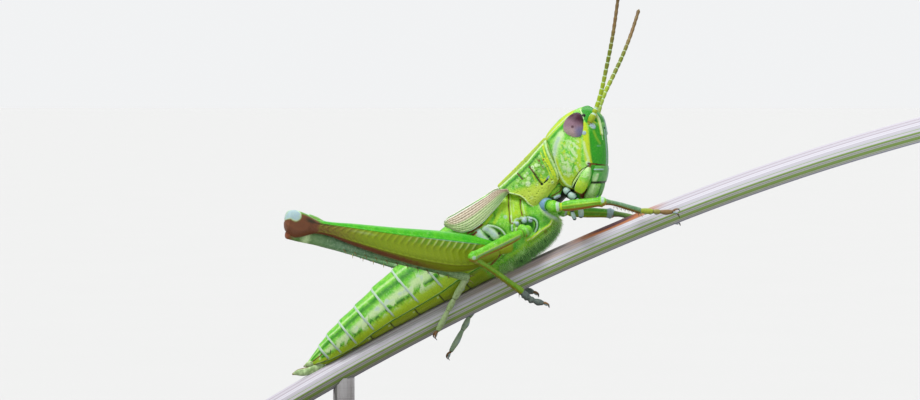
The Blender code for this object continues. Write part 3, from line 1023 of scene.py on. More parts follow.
@dataclass
class Trunk:
    """Thorax and abdomen under one skin, the neck that runs into the head, and the egg-laying valves."""

    axes: Axes
    around: int = 200
    along: int = 430
    tergite_edges: tuple[float, ...] = (1.58, 2.31, 3.3, 4.52, 5.84, 7.36, 8.9, 10.45)
    step: float = 0.055
    sections: tuple[Section, ...] = tuple(Section(*row) for row in (
        (0.36, 0.06, 0.42, -0.07, 0.07), (0.62, 0.11, 0.66, -0.24, 0.17), (0.98, 0.22, 1.02, -0.48, 0.33),
        (1.38, 0.34, 1.4, -0.67, 0.46), (1.75, 0.45, 1.75, -0.75, 0.56), (2.55, 0.67, 2.55, -0.87, 0.78),
        (3.6, 0.82, 3.6, -1.03, 0.98), (4.9, 0.97, 4.9, -1.25, 1.14), (6.3, 1.14, 6.3, -1.5, 1.26),
        (7.8, 1.22, 7.8, -1.77, 1.34), (9.4, 1.28, 9.4, -2.09, 1.42), (11.05, 1.33, 11.05, -2.42, 1.48),
        (12.2, 1.35, 12.2, -2.66, 1.58), (13.2, 1.36, 13.2, -2.87, 1.62), (14.1, 1.26, 14.3, -2.94, 1.58),
        (14.7, 1.1, 15.1, -2.9, 1.47), (15.3, 0.86, 15.8, -2.72, 1.32), (15.9, 0.52, 16.3, -2.36, 1.18),
        (16.45, 0.2, 16.6, -1.74, 1.05), (17.1, 0.1, 17.15, -1.55, 0.96), (17.9, 0.0, 17.85, -1.55, 0.8),
    ))
    tergite_margin: Route = (
        (1.0, -0.28), (1.6, -0.5), (2.34, -0.68), (3.3, -0.83), (4.51, -0.82), (5.81, -0.92), (7.35, -1.15),
        (8.71, -1.33), (9.89, -1.36), (11.24, -1.52),
    )

    def margin(self, forward: Array) -> Array:
        """Return how high the back plates' lower margin lies, for places along the body."""
        return np.interp(forward, *zip(*self.tergite_margin))

    def top(self, forward: Array) -> Array:
        """Return how high the back lies, for places along the body."""
        return np.interp(forward, [s.top_along for s in self.sections], [s.top_above for s in self.sections])

    def tergites(self, skin: Skin) -> None:
        """Step the abdomen's back plates over each other, and lay their pale bands, their mottling and a
        painted sheen along the middle of the flank.
        """
        forward, up = skin.points[:, 0], skin.points[:, 2]
        margin = self.margin(forward)
        on_back = rise(up - margin, -0.03, 0.05)
        on_abdomen = rise(forward, 11.6, 11.0)
        edges = np.array(self.tergite_edges)
        place = forward + 0.06 * (up - 0.2)
        index = np.clip(np.searchsorted(edges, place, side="right") - 1, 0, len(edges) - 2)
        share = np.clip((place - edges[index]) / (edges[index + 1] - edges[index]), 0.0, 1.0)
        plate = np.where(place < edges[0], 0.0, smooth_step(1.0 - share) ** 1.5)
        lifted = plate * rise(share, 0.0, 0.03)
        skin.relief += self.step * lifted * on_back * on_abdomen
        level = (up - margin) / np.maximum(self.top(forward) - margin, 0.2)
        behind = np.abs(place - edges[index] - 0.05)
        band = smooth_step((0.105 - behind) / 0.06) * on_back * on_abdomen * rise(level, 0.0, 0.18)
        skin.wash(PALE, band * 0.8)
        skin.wash(BLUE, band * 0.5)
        near = np.abs(place[:, None] - edges[None, :]).min(1)
        skin.wash(DEEP, smooth_step((0.04 - near) / 0.03) * on_back * on_abdomen * 0.75)
        on_plate = on_abdomen * on_back * (1.0 - 0.6 * band)
        skin.wash(DEEP, hump(level, 0.74, 0.15) * on_plate * 0.62)
        skin.wash(PALE, hump(level, 0.87, 0.06) * on_plate * 0.5)
        # painted sheen: a pale band along the middle height of each plate, where the flank catches the light
        skin.wash(PALE, hump(level, 0.48, 0.22) * rise(share, 0.0, 0.4) * on_plate * 0.74)
        skin.wash(YELLOW, rise(level, 0.42, 0.14) * on_plate * 0.62)
        skin.wash(OLIVE, hump(level, 0.02, 0.07) * on_plate * 0.6)
        # mint-white mottling over the middle of the flank: partly the plates' own mottling and partly the
        # painted sheen broken up
        cloud = ripple(skin.points, 0.62)
        middle = hump(level, 0.42, 0.36) * on_plate
        skin.wash(PALE, middle * rise(cloud, 0.5, 0.72) * 0.95)
        skin.wash(BLUE, hump(level, 0.52, 0.2) * on_plate * rise(cloud, 0.62, 0.8) * 0.45)
        skin.wash(DEEP, middle * hump(cloud, 0.4, 0.055) * 0.6)
        skin.wash(DEEP, hump(level, 0.32, 0.1) * on_plate * rise(cloud, 0.34, 0.22) * 0.85)

    def streaks(self, skin: Skin) -> None:
        """Lay the tail's rusty and yellow lines, and five short dark streaks on each plate."""
        edges = self.tergite_edges
        skin.line(RUST, ((1.52, -0.04), (1.0, -0.05), (0.5, -0.01)), 0.09, 0.8, -0.02)
        skin.line(YELLOW, ((1.3, -0.16), (0.95, -0.17), (0.6, -0.08)), 0.22, 0.6)
        skin.line(RUST, ((1.6, -0.46), (1.05, -0.32), (0.6, -0.16)), 0.08, 0.6)
        skin.line(INK, ((2.06, -0.14), (1.96, -0.24), (1.84, -0.34)), 0.08, 0.6)
        for number, (start, end) in enumerate(zip(edges, edges[1:])):
            for step in range(5):
                at = start + (end - start) * (0.3 + 0.13 * step)
                low, high = self.margin(at), self.top(at)
                tall = 0.34 - 0.05 * step + 0.05 * math.sin(2.1 * step + number)
                lean_to = 0.1 * math.sin(3.7 * step + 1.9 * number)
                route = ((at, low + (high - low) * (tall - 0.06)),
                         (at + lean_to, low + (high - low) * (tall + 0.05)))
                skin.line(DEEP, route, 0.09 + 0.03 * math.sin(5.0 * step + number), 0.75)

    def belly(self, skin: Skin) -> None:
        """Sink the fold under the back plates and lay the olive belly plates with their dark joints."""
        forward, up = skin.points[:, 0], skin.points[:, 2]
        margin = self.margin(forward)
        on_abdomen = rise(forward, 11.8, 11.0)
        skin.wash(PALE, hump(up - margin, 0.015, 0.045) * on_abdomen * 0.6, 0.02)
        skin.wash(INK, hump(up - margin, -0.06, 0.05) * on_abdomen * 0.6)
        skin.relief -= 0.05 * hump(up - margin, -0.09, 0.1) * on_abdomen
        under = rise(up - margin, -0.06, -0.14) * on_abdomen
        skin.wash(OLIVE, under * 0.95)
        skin.wash(YELLOW, under * hump(up - margin, -0.3, 0.25) * 0.35)
        skin.wash(DEEP, under * rise(forward, 7.5, 11.0) * 0.35)
        for place in self.tergite_edges[2:]:
            joint = hump(forward, place - 0.28, 0.09) * under
            skin.wash(INK, joint * 0.7, -0.03)
            skin.spot(PALE, (place - 0.42, self.margin(place) - 0.16), 0.12, 0.5)

    def thorax(self, skin: Skin) -> None:
        """Set the flank back in front, cut its sutures, and lay its sheets, patches and the long ridge."""
        forward, up = skin.points[:, 0], skin.points[:, 2]
        back = np.interp(up, (-0.8, -0.4, 0.1, 0.64, 1.18), (15.62, 15.55, 15.46, 15.17, 14.94))
        low = np.interp(forward, (15.5, 16.0, 16.5, 17.0, 17.7), (-0.78, -0.84, -0.82, -0.68, -0.48))
        skin.relief -= 0.34 * rise(forward - back, 0.04, 0.3) * rise(up - low, 0.02, 0.24)
        flank = rise(forward, 12.4, 13.2)
        sheet = rise(up, -1.5, -0.6) * rise(forward, 15.7, 15.0) * flank
        skin.wash(YELLOW, sheet * (0.22 + 0.3 * rise(forward, 14.0, 14.3)))
        skin.wash(YELLOW, hump(up, -2.15, 0.32) * flank * 0.35)
        # painted shade: the flank darkens to deep green, near black lower down, below the long ridge where
        # the belly faces down
        skin.wash(DEEP, flank * rise(up, -2.15, -2.75) * 0.8)
        skin.wash(INK, flank * rise(up, -2.25, -2.8) * 0.5)
        skin.wash(DEEP, hump(forward, 15.75, 0.55) * rise(up, -1.0, -1.5) * 0.4)
        for route in (
            ((15.2, 0.86), (15.06, 0.68), (14.69, 0.21), (14.35, -0.32), (14.13, -0.66)),
            ((15.48, 0.12), (15.36, 0.0), (15.11, -0.32), (14.9, -0.75)),
        ):
            skin.line(DEEP, route, 0.17, 0.8, -0.06)
            skin.line(RUST, route, 0.08, 0.85)
            skin.line(INK, route, 0.05, 0.6)
            skin.line(PALE, shifted(route, 0.09, -0.06), 0.08, 0.6, 0.03, 0.9)
        skin.line(PALE, ((14.88, 0.02), (14.78, -0.12), (14.66, -0.3)), 0.16, 0.35)
        skin.spot(OLIVE, (14.72, -0.42), 0.16, 0.6)
        skin.line(PALE, ((15.3, -0.3), (15.16, -0.52), (15.06, -0.76)), 0.12, 0.45, 0.02)
        skin.spot(BLUE, (14.12, -0.24), 0.17, 0.45)
        skin.line(PALE, ((14.4, -0.38), (14.31, -0.52), (14.23, -0.66)), 0.13, 0.95, 0.03)
        skin.spot(RUST, (14.2, -0.74), 0.08, 0.8)
        skin.line(YELLOW, ((14.6, 0.6), (14.1, 0.2), (13.45, -0.12)), 0.34, 0.5)
        skin.line(DEEP, ((13.95, 0.62), (13.72, 0.22), (13.5, -0.1)), 0.16, 0.45, -0.03)
        skin.line(YELLOW, ((13.6, 0.3), (13.1, 0.16), (12.7, 0.16)), 0.22, 0.7)
        ridge = ((15.98, -1.98), (15.79, -2.09), (15.43, -2.07), (14.97, -2.04), (14.53, -2.04),
                 (14.25, -1.96))
        skin.line(YELLOW, ridge, 0.22, 0.9, 0.06)
        skin.line(PALE, ridge, 0.09, 0.75, 0.02)
        # painted shade in the groove just under the long ridge
        skin.line(DEEP, shifted(ridge, 0.0, -0.2), 0.2, 0.5, -0.04)
        skin.line(YELLOW, shifted(ridge, -0.3, -0.3), 0.3, 0.35)
        skin.spot(RUST, (15.35, -2.26), 0.2, 0.4)
        skin.line(PALE, ((13.5, -1.56), (13.3, -1.66), (13.0, -1.72), (12.78, -1.74)), 0.2, 0.85, 0.05)
        skin.line(RUST, ((13.05, -1.66), (12.68, -1.7), (12.28, -1.78), (11.9, -1.84)), 0.2, 0.7, -0.03)
        skin.line(INK, ((13.2, -1.9), (12.75, -1.9), (12.3, -1.94)), 0.09, 0.6, -0.03)

    @staticmethod
    def thorax_ends(skin: Skin) -> None:
        """Lay the rusty lines behind the hind socket, the pale front, and the neck with its side plate."""
        forward, up = skin.points[:, 0], skin.points[:, 2]
        for route in (
            ((12.86, 0.2), (12.55, 0.2), (12.25, 0.24), (11.95, 0.32)),
            ((12.36, 0.06), (12.1, 0.08), (11.8, 0.16)),
        ):
            skin.line(RUST, route, 0.16, 0.9)
            skin.line(INK, shifted(route, 0.0, 0.07), 0.07, 0.6)
        skin.line(YELLOW, ((12.45, -0.04), (12.15, -0.02), (11.85, 0.04)), 0.16, 0.8)
        front = ((15.92, -0.98), (15.9, -1.35), (16.0, -1.72), (16.18, -2.1))
        skin.line(PALE, shifted(front, 0.06, 0.0), 0.5, 0.62, 0.03, 1.0)
        skin.line(BLUE, shifted(front, 0.1, 0.0), 0.34, 0.5, 0.0, 1.0)
        skin.line(BLUE, ((16.16, -0.9), (16.4, -0.94), (16.62, -1.08)), 0.26, 1.0, 0.07)
        side_plate = ((16.92, -0.84), (17.15, -0.8), (17.38, -0.8))
        chosen, near = skin.nearness(skin.onto(side_plate + ((17.0, -1.1),)), 0.26, 0.5)
        clear = np.ones(len(skin.points))
        clear[chosen] = 1.0 - near
        # painted shade: the neck below the pronotum darkens to deep green, near black low down, leaving the
        # side plate clear
        skin.wash(DEEP, rise(forward, 16.35, 16.7) * 0.9 * clear)
        skin.wash(INK, rise(forward, 16.35, 16.9) * rise(up, -0.6, -1.1) * 0.85 * clear)
        skin.line(YELLOW, side_plate, 0.24, 0.4, 0.14)
        skin.line(RUST, ((16.8, -0.92), (17.1, -0.98), (17.42, -0.98), (17.56, -0.78)), 0.09, 0.9)
        skin.line(BLUE, ((16.88, -1.1), (17.02, -1.12), (17.14, -1.16)), 0.24, 1.0, 0.12)

    @staticmethod
    def middle_socket(skin: Skin) -> None:
        """Sink the middle leg's socket and fill it with its lilac rim, blue-white bulbs and green lobes."""
        ring = ((13.95, -1.05), (14.1, -0.84), (14.45, -0.72), (14.83, -0.84), (15.18, -1.12),
                (15.33, -1.43),
                (15.18, -1.72), (14.89, -1.9))
        middle = (14.62, -1.36)
        # painted shade in the sunk socket and in the groove round its rim
        skin.spot(DEEP, (14.64, -1.32), 0.66, 0.85, -0.16, 0.5)
        skin.line(DEEP, widened(ring, middle, 0.13), 0.12, 0.7, -0.05)
        skin.line(PALE, ring, 0.12, 0.45, 0.04)
        skin.line(BLUE, ring, 0.12, 0.6)
        skin.line(INK, widened(ring[4:], middle, -0.14), 0.1, 0.75)
        for bulb, size in (((14.4, -0.93), 0.19), ((14.82, -1.04), 0.24), ((15.08, -1.24), 0.19)):
            skin.spot(BLUE, bulb, size, 1.0, 0.18, 0.9)
            skin.spot(PALE, (bulb[0] + 0.02, bulb[1] + 0.03), size * 0.8, 0.8)
        skin.line(INK, ((14.62, -0.86), (14.64, -1.02), (14.6, -1.14), (14.4, -1.12)), 0.07, 0.8, -0.05)
        skin.spot(YELLOW, (14.28, -1.22), 0.26, 0.6, 0.16, 0.8)
        skin.line(PALE, ((14.06, -1.28), (14.14, -1.12), (14.34, -1.06), (14.52, -1.16)), 0.11, 0.9, 0.03)
        skin.spot(YELLOW, (14.79, -1.52), 0.2, 0.35, 0.12, 0.8)
        for spot in ((14.72, -1.46), (14.86, -1.44), (14.8, -1.6)):
            skin.spot(RUST, spot, 0.05, 0.7)

    @staticmethod
    def hind_socket(skin: Skin) -> None:
        """Fill the hind leg's socket with two blue-white lobes, grey folds of painted shade and dark spots.
        """
        # painted shade in the sunk socket and along its upper rim
        skin.spot(DEEP, (12.95, -0.62), 0.62, 0.8, -0.1, 0.5)
        rim = ((12.38, 0.06), (12.75, 0.12), (13.05, 0.02), (13.38, -0.34), (13.56, -0.72), (13.56, -1.05))
        skin.line(DEEP, shifted(rim, 0.05, 0.06), 0.13, 0.7, -0.04)
        for route, width, lift in (
            (((12.44, 0.02), (12.42, -0.3), (12.44, -0.6)), 0.66, 0.1),
            (((12.86, -0.1), (13.0, -0.36), (13.04, -0.74)), 0.66, 0.08),
            (((13.06, 0.0), (13.38, -0.36), (13.52, -0.76), (13.5, -1.02)), 0.15, 0.05),
        ):
            skin.line(PALE, route, width, 1.0, lift, 0.9)
            skin.line(BLUE, route, width, 0.55, 0.0, 0.9)
        skin.line(INK, ((12.68, 0.04), (12.7, -0.3), (12.74, -0.58)), 0.07, 0.6, -0.04)
        # the folds are grey creases of painted shade
        for fold in (12.34, 12.52, 12.9, 13.06):
            crease = ((fold, -0.06), (fold + 0.02, -0.34), (fold - 0.02, -0.62))
            skin.line(DEEP, crease, 0.07, 0.34, -0.025, 0.9)
        # painted shade in the groove between the lobes
        skin.line(DEEP, ((13.2, -0.3), (13.3, -0.62), (13.38, -0.92)), 0.22, 0.85, -0.04)
        for spot, size in (((12.74, -0.54), 0.1), ((13.3, -0.74), 0.11)):
            skin.spot(INK, spot, size, 0.9, -0.03)

    def build(self, finish: Finish, hair: Finish) -> None:
        """Build the skin, dress it and stand the fine hairs on its underside."""
        skin = Skin("body_skin", self.axes, self.around, self.along, ring_place(self.sections, 0.9))
        for dress in (self.tergites, self.streaks, self.belly, self.thorax, self.middle_socket,
                      self.hind_socket, self.thorax_ends):
            dress(skin)
        forward, up = skin.points[:, 0], skin.points[:, 2]
        edge = np.interp(forward, (11.5, 13.0, 15.6, 16.2), (-2.05, -2.0, -2.14, -1.85))
        where = rise(up - edge, 0.0, -0.25) * rise(forward, 11.4, 12.4) * rise(forward, 16.6, 16.3)
        Coat("belly_hairs", 3000, 0.25).build(skin, where, hair)
        skin.piece(finish, "green_cuticle", ("abdomen", "thorax"))

    def valves(self, finish: Finish) -> None:
        """Build the two pairs of egg-laying valves, the upper pair hooked up and the lower pair down."""
        made = []
        for side in Side:
            beside = side.value * 0.11
            for name, route, size in (
                ("upper", ((1.4, -0.1), (0.95, -0.1), (0.6, -0.04), (0.3, 0.03)), 0.16),
                ("lower", ((1.15, -0.48), (0.66, -0.4), (0.1, -0.21), (-0.24, -0.01), (-0.46, 0.07)), 0.21),
            ):
                skin = limb_skin(
                    f"valve_{name}_{side.word}",
                    [(s, beside * (1.0 if s > 0.3 else 0.7), h) for s, h in route],
                    girths(1.0, (0.0, size, 0.12), (0.4, size, 0.13), (0.8, size * 0.86, 0.11),
                           (1.0, size * 0.25, 0.04)), (0.0, 0.0, 1.0), 30, 70, 0.9, self.axes, 1.2)
                skin.wash(PALE, ripple(skin.points, 0.3) * 0.6)
                skin.wash(DEEP, 0.3 if name == "lower" else 0.0)
                skin.wash(YELLOW, rise(skin.along, 0.7, 0.2) * (0.1 if name == "lower" else 0.5))
                skin.wash(RUST, rise(skin.along, 0.82, 1.0) * 0.6)
                edge = 0.5 if name == "upper" else 0.0
                skin.wash(RUST, rise(np.cos(2 * math.pi * (skin.across - edge)), 0.7, 1.0) * 0.6)
                made.append(skin.piece(finish, "pale_cuticle"))
        whole = join("ovipositor_valves", made)
        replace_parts(whole, "ovipositor")


@dataclass
class Pronotum:
    """The saddle plate over the front of the thorax, with its keels, cross grooves, pits and pale rim."""

    axes: Axes
    around: int = 260
    along: int = 150
    sections: tuple[Section, ...] = tuple(Section(*row) for row in (
        (14.65, 1.27, 15.5, -0.92, 1.42), (15.5, 1.35, 16.0, -0.94, 1.44), (16.4, 1.46, 16.55, -0.9, 1.43),
        (17.4, 1.6, 17.15, -0.76, 1.4), (18.5, 1.76, 17.75, -0.56, 1.38),
    ))
    front_rim: Route = (
        (18.36, 1.66), (18.22, 1.4), (18.08, 1.02), (17.95, 0.4), (17.82, -0.1), (17.66, -0.38),
    )
    lower_rim: Route = (
        (17.66, -0.38), (17.37, -0.56), (16.81, -0.72), (16.47, -0.82), (16.0, -0.83), (15.66, -0.74),
    )
    back_rim: Route = (
        (15.66, -0.74), (15.56, -0.45), (15.56, -0.09), (15.48, 0.17), (15.27, 0.45),
        (15.08, 0.68), (14.84, 1.1),
    )
    ridge: Route = (
        (14.83, 1.17), (15.45, 1.21), (16.05, 1.26), (16.98, 1.36), (17.44, 1.47), (18.3, 1.62),
    )

    def bowed(self, across: Array, along: Array) -> Array:
        """Return the plate's points with its back edge drawn forward to the curved back rim."""
        points = ring_place(self.sections, 0.75, 0.04, 0.1, 0.28)(across, along)
        forward, up = points[:, 0], points[:, 2]
        straight = 15.5 - 0.388 * (up + 0.92)
        curved = np.interp(up, [h for _, h in self.back_rim], [s for s, _ in self.back_rim])
        points[:, 0] += (curved - 0.04 - straight) * rise(forward - straight, 0.9, 0.0)
        return points

    def build(self, finish: Finish) -> None:
        """Build the plate and dress it."""
        skin = Skin("pronotum_plate", self.axes, self.around, self.along, self.bowed)
        forward, beside, up = skin.points.T
        flank = np.abs(beside)
        inside = rise(skin.along, 0.03, 0.06) * rise(skin.along, 0.97, 0.94)
        ridge = np.interp(forward, *zip(*self.ridge))
        above = rise(up - ridge, 0.0, 0.06)
        skin.wash(OLIVE, above * 0.5)
        skin.wash(YELLOW, above * (0.3 + 0.4 * hump(flank, 0.0, 0.2)))
        skin.wash(None, hump(flank, 0.0, 0.11) * above * inside, 0.07)
        # painted highlight: a pale line along the crest of the keel, raised a little
        crest_highlight = hump(up - ridge, 0.0, 0.06) * inside
        skin.wash(PALE, crest_highlight, 0.04)
        skin.wash(DEEP, hump(up - ridge, -0.16, 0.16) * rise(forward, 18.0, 17.6) * 0.65)
        split = 0.22 + 0.34 * (16.4 - forward)
        lower = rise(up - split, 0.32, -0.3)
        skin.wash(YELLOW, lower * 0.72)
        skin.wash(PALE, lower * 0.24)
        skin.wash(DEEP, rise(up - split, 0.0, 0.35) * rise(ridge - up, 0.05, 0.25) * 0.3)
        self.grooves(skin)
        self.blotches(skin)
        for route, width, tint in ((self.front_rim, 0.26, PALE), (self.lower_rim, 0.14, YELLOW),
                                   (self.back_rim, 0.12, PALE)):
            skin.line(tint, route, width, 0.55, 0.05, 0.9)
        skin.line(PALE, self.back_rim, 0.07, 0.7)
        skin.line(YELLOW, shifted(self.front_rim, -0.18, -0.02), 0.16, 0.85)
        skin.line(YELLOW, shifted(self.front_rim[1:5], -0.42, -0.04), 0.1, 0.6)
        skin.line(RUST, shifted(self.front_rim, 0.1, 0.0), 0.1, 0.5, -0.02, 0.9)
        # painted shadow: a thin rusty line just below the plate's lower rim
        skin.line(RUST, shifted(self.lower_rim, 0.01, -0.07), 0.09, 0.9)
        skin.piece(finish, "green_cuticle", ("pronotum",))

    def grooves(self, skin: Skin) -> None:
        """Cut the cross grooves and the slanting pit, and carry the main groove over the back."""
        for route, width, share in (
            (((16.83, 1.16), (16.82, 0.69), (16.79, 0.35), (16.77, -0.05)), 0.12, 0.95),
            (((16.09, 1.24), (16.1, 1.05), (16.11, 0.81)), 0.12, 0.95),
            (((17.42, 1.24), (17.4, 0.9), (17.36, 0.5)), 0.16, 0.4),
        ):
            skin.line(DEEP, route, width * 1.6, share * 0.7, -0.06)
            skin.line(RUST, route, width * 0.7, share)
            skin.line(INK, route, width * 0.55, share * 0.7)
        skin.spot(INK, (16.79, -0.07), 0.1, 1.0, -0.05)
        skin.line(INK, ((16.93, -0.08), (17.08, -0.08), (17.2, -0.06)), 0.11, 0.85, -0.05)
        skin.line(BLUE, ((17.14, -0.03), (17.27, 0.0), (17.34, 0.03)), 0.13, 0.9)
        forward, beside, up = skin.points.T
        across_top = hump(forward - 0.05 * np.abs(beside), 16.8, 0.06) * rise(up, 1.3, 1.4)
        skin.wash(DEEP, across_top * 0.6, -0.04)

    @staticmethod
    def blotches(skin: Skin) -> None:
        """Lay the yellow stripes, the mint and pink mottling and the small rusty dots."""
        for route, width, share in (
            (((17.74, 0.95), (17.7, 0.4), (17.56, -0.04)), 0.13, 0.95),
            (((17.88, 0.2), (17.76, -0.2), (17.6, -0.38)), 0.14, 0.7),
            (((17.05, 0.34), (16.9, 0.16), (17.0, 0.02), (17.12, 0.06)), 0.15, 0.9),
            (((16.7, 0.62), (16.62, 0.3), (16.62, 0.06)), 0.12, 0.5),
            (((16.9, -0.5), (16.55, -0.66), (16.1, -0.62)), 0.2, 0.6),
            (((16.0, 0.3), (15.78, 0.1), (15.72, -0.2)), 0.16, 0.4),
        ):
            skin.line(YELLOW, route, width, share)
        for place, size, share in (
            ((16.94, 0.98), 0.15, 0.85), ((17.18, 0.94), 0.16, 0.7), ((17.3, 0.86), 0.11, 0.5),
            ((16.9, 0.8), 0.12, 0.6), ((16.52, 0.9), 0.13, 0.55), ((16.34, 0.86), 0.14, 0.6),
            ((16.4, 0.62), 0.18, 0.5), ((16.2, 0.42), 0.22, 0.75), ((16.0, 0.6), 0.16, 0.35),
            ((17.44, 0.66), 0.16, 0.4), ((17.24, 0.36), 0.18, 0.5), ((17.12, 0.6), 0.16, 0.4),
            ((17.62, 1.2), 0.16, 0.4), ((15.86, 0.9), 0.15, 0.35), ((15.62, 0.7), 0.16, 0.35),
            ((16.56, 0.1), 0.18, 0.4), ((17.3, -0.34), 0.16, 0.5), ((15.9, -0.3), 0.2, 0.35),
        ):
            skin.spot(PALE, place, size, share, 0.015)
            skin.spot(BLUE, place, size * 0.6, share * 0.35)
        for place, size, share in (
            ((17.66, 0.93), 0.07, 0.9), ((17.46, 1.05), 0.08, 0.8), ((17.34, -0.18), 0.05, 0.8),
            ((16.42, -0.02), 0.07, 0.45), ((17.0, -0.36), 0.08, 0.35), ((16.05, -0.2), 0.09, 0.3),
            ((15.8, -0.42), 0.07, 0.3), ((17.2, -0.44), 0.07, 0.3), ((16.48, -0.48), 0.08, 0.3),
            ((15.98, 0.2), 0.06, 0.3), ((15.62, -0.02), 0.08, 0.4),
        ):
            skin.spot(RUST, place, size, share)


# ---------------------------------------------------------------- head


@dataclass(frozen=True)
class Level:
    """A level of the head: its height over the neck, where its back and front lie, and half its width."""

    height: float
    back: float
    front: float
    half_width: float


def level_place(levels: Sequence[Level], squareness: float) -> Place:
    """Return a mapping of shares round and down onto a head drawn through levels, closed at both ends.

    Args:
        levels: Levels from the top down.
        squareness: Power under 1 that fills the levels' corners.

    Returns:
        The mapping.
    """
    heights = [-level.height for level in levels]
    sizes = [(level.back, level.front, level.half_width) for level in levels]
    top, bottom = heights[0], heights[-1]
    cap = 0.06

    def place(across: Array, along: Array) -> Array:
        """Return points for shares across and along."""
        down = top + (bottom - top) * along
        size = curve_through(heights, sizes, down)
        shrink = rounded_end(np.clip(np.minimum(along, 1.0 - along) / cap, 0.0, 1.0))
        angle = 2.0 * math.pi * across
        fore = signed_power(np.cos(angle), squareness) * shrink
        wide = signed_power(np.sin(angle), squareness) * shrink
        centre, reach = (size[:, 0] + size[:, 1]) / 2, (size[:, 1] - size[:, 0]) / 2
        return np.stack([centre + reach * fore, size[:, 2] * wide, -down], 1)

    return place


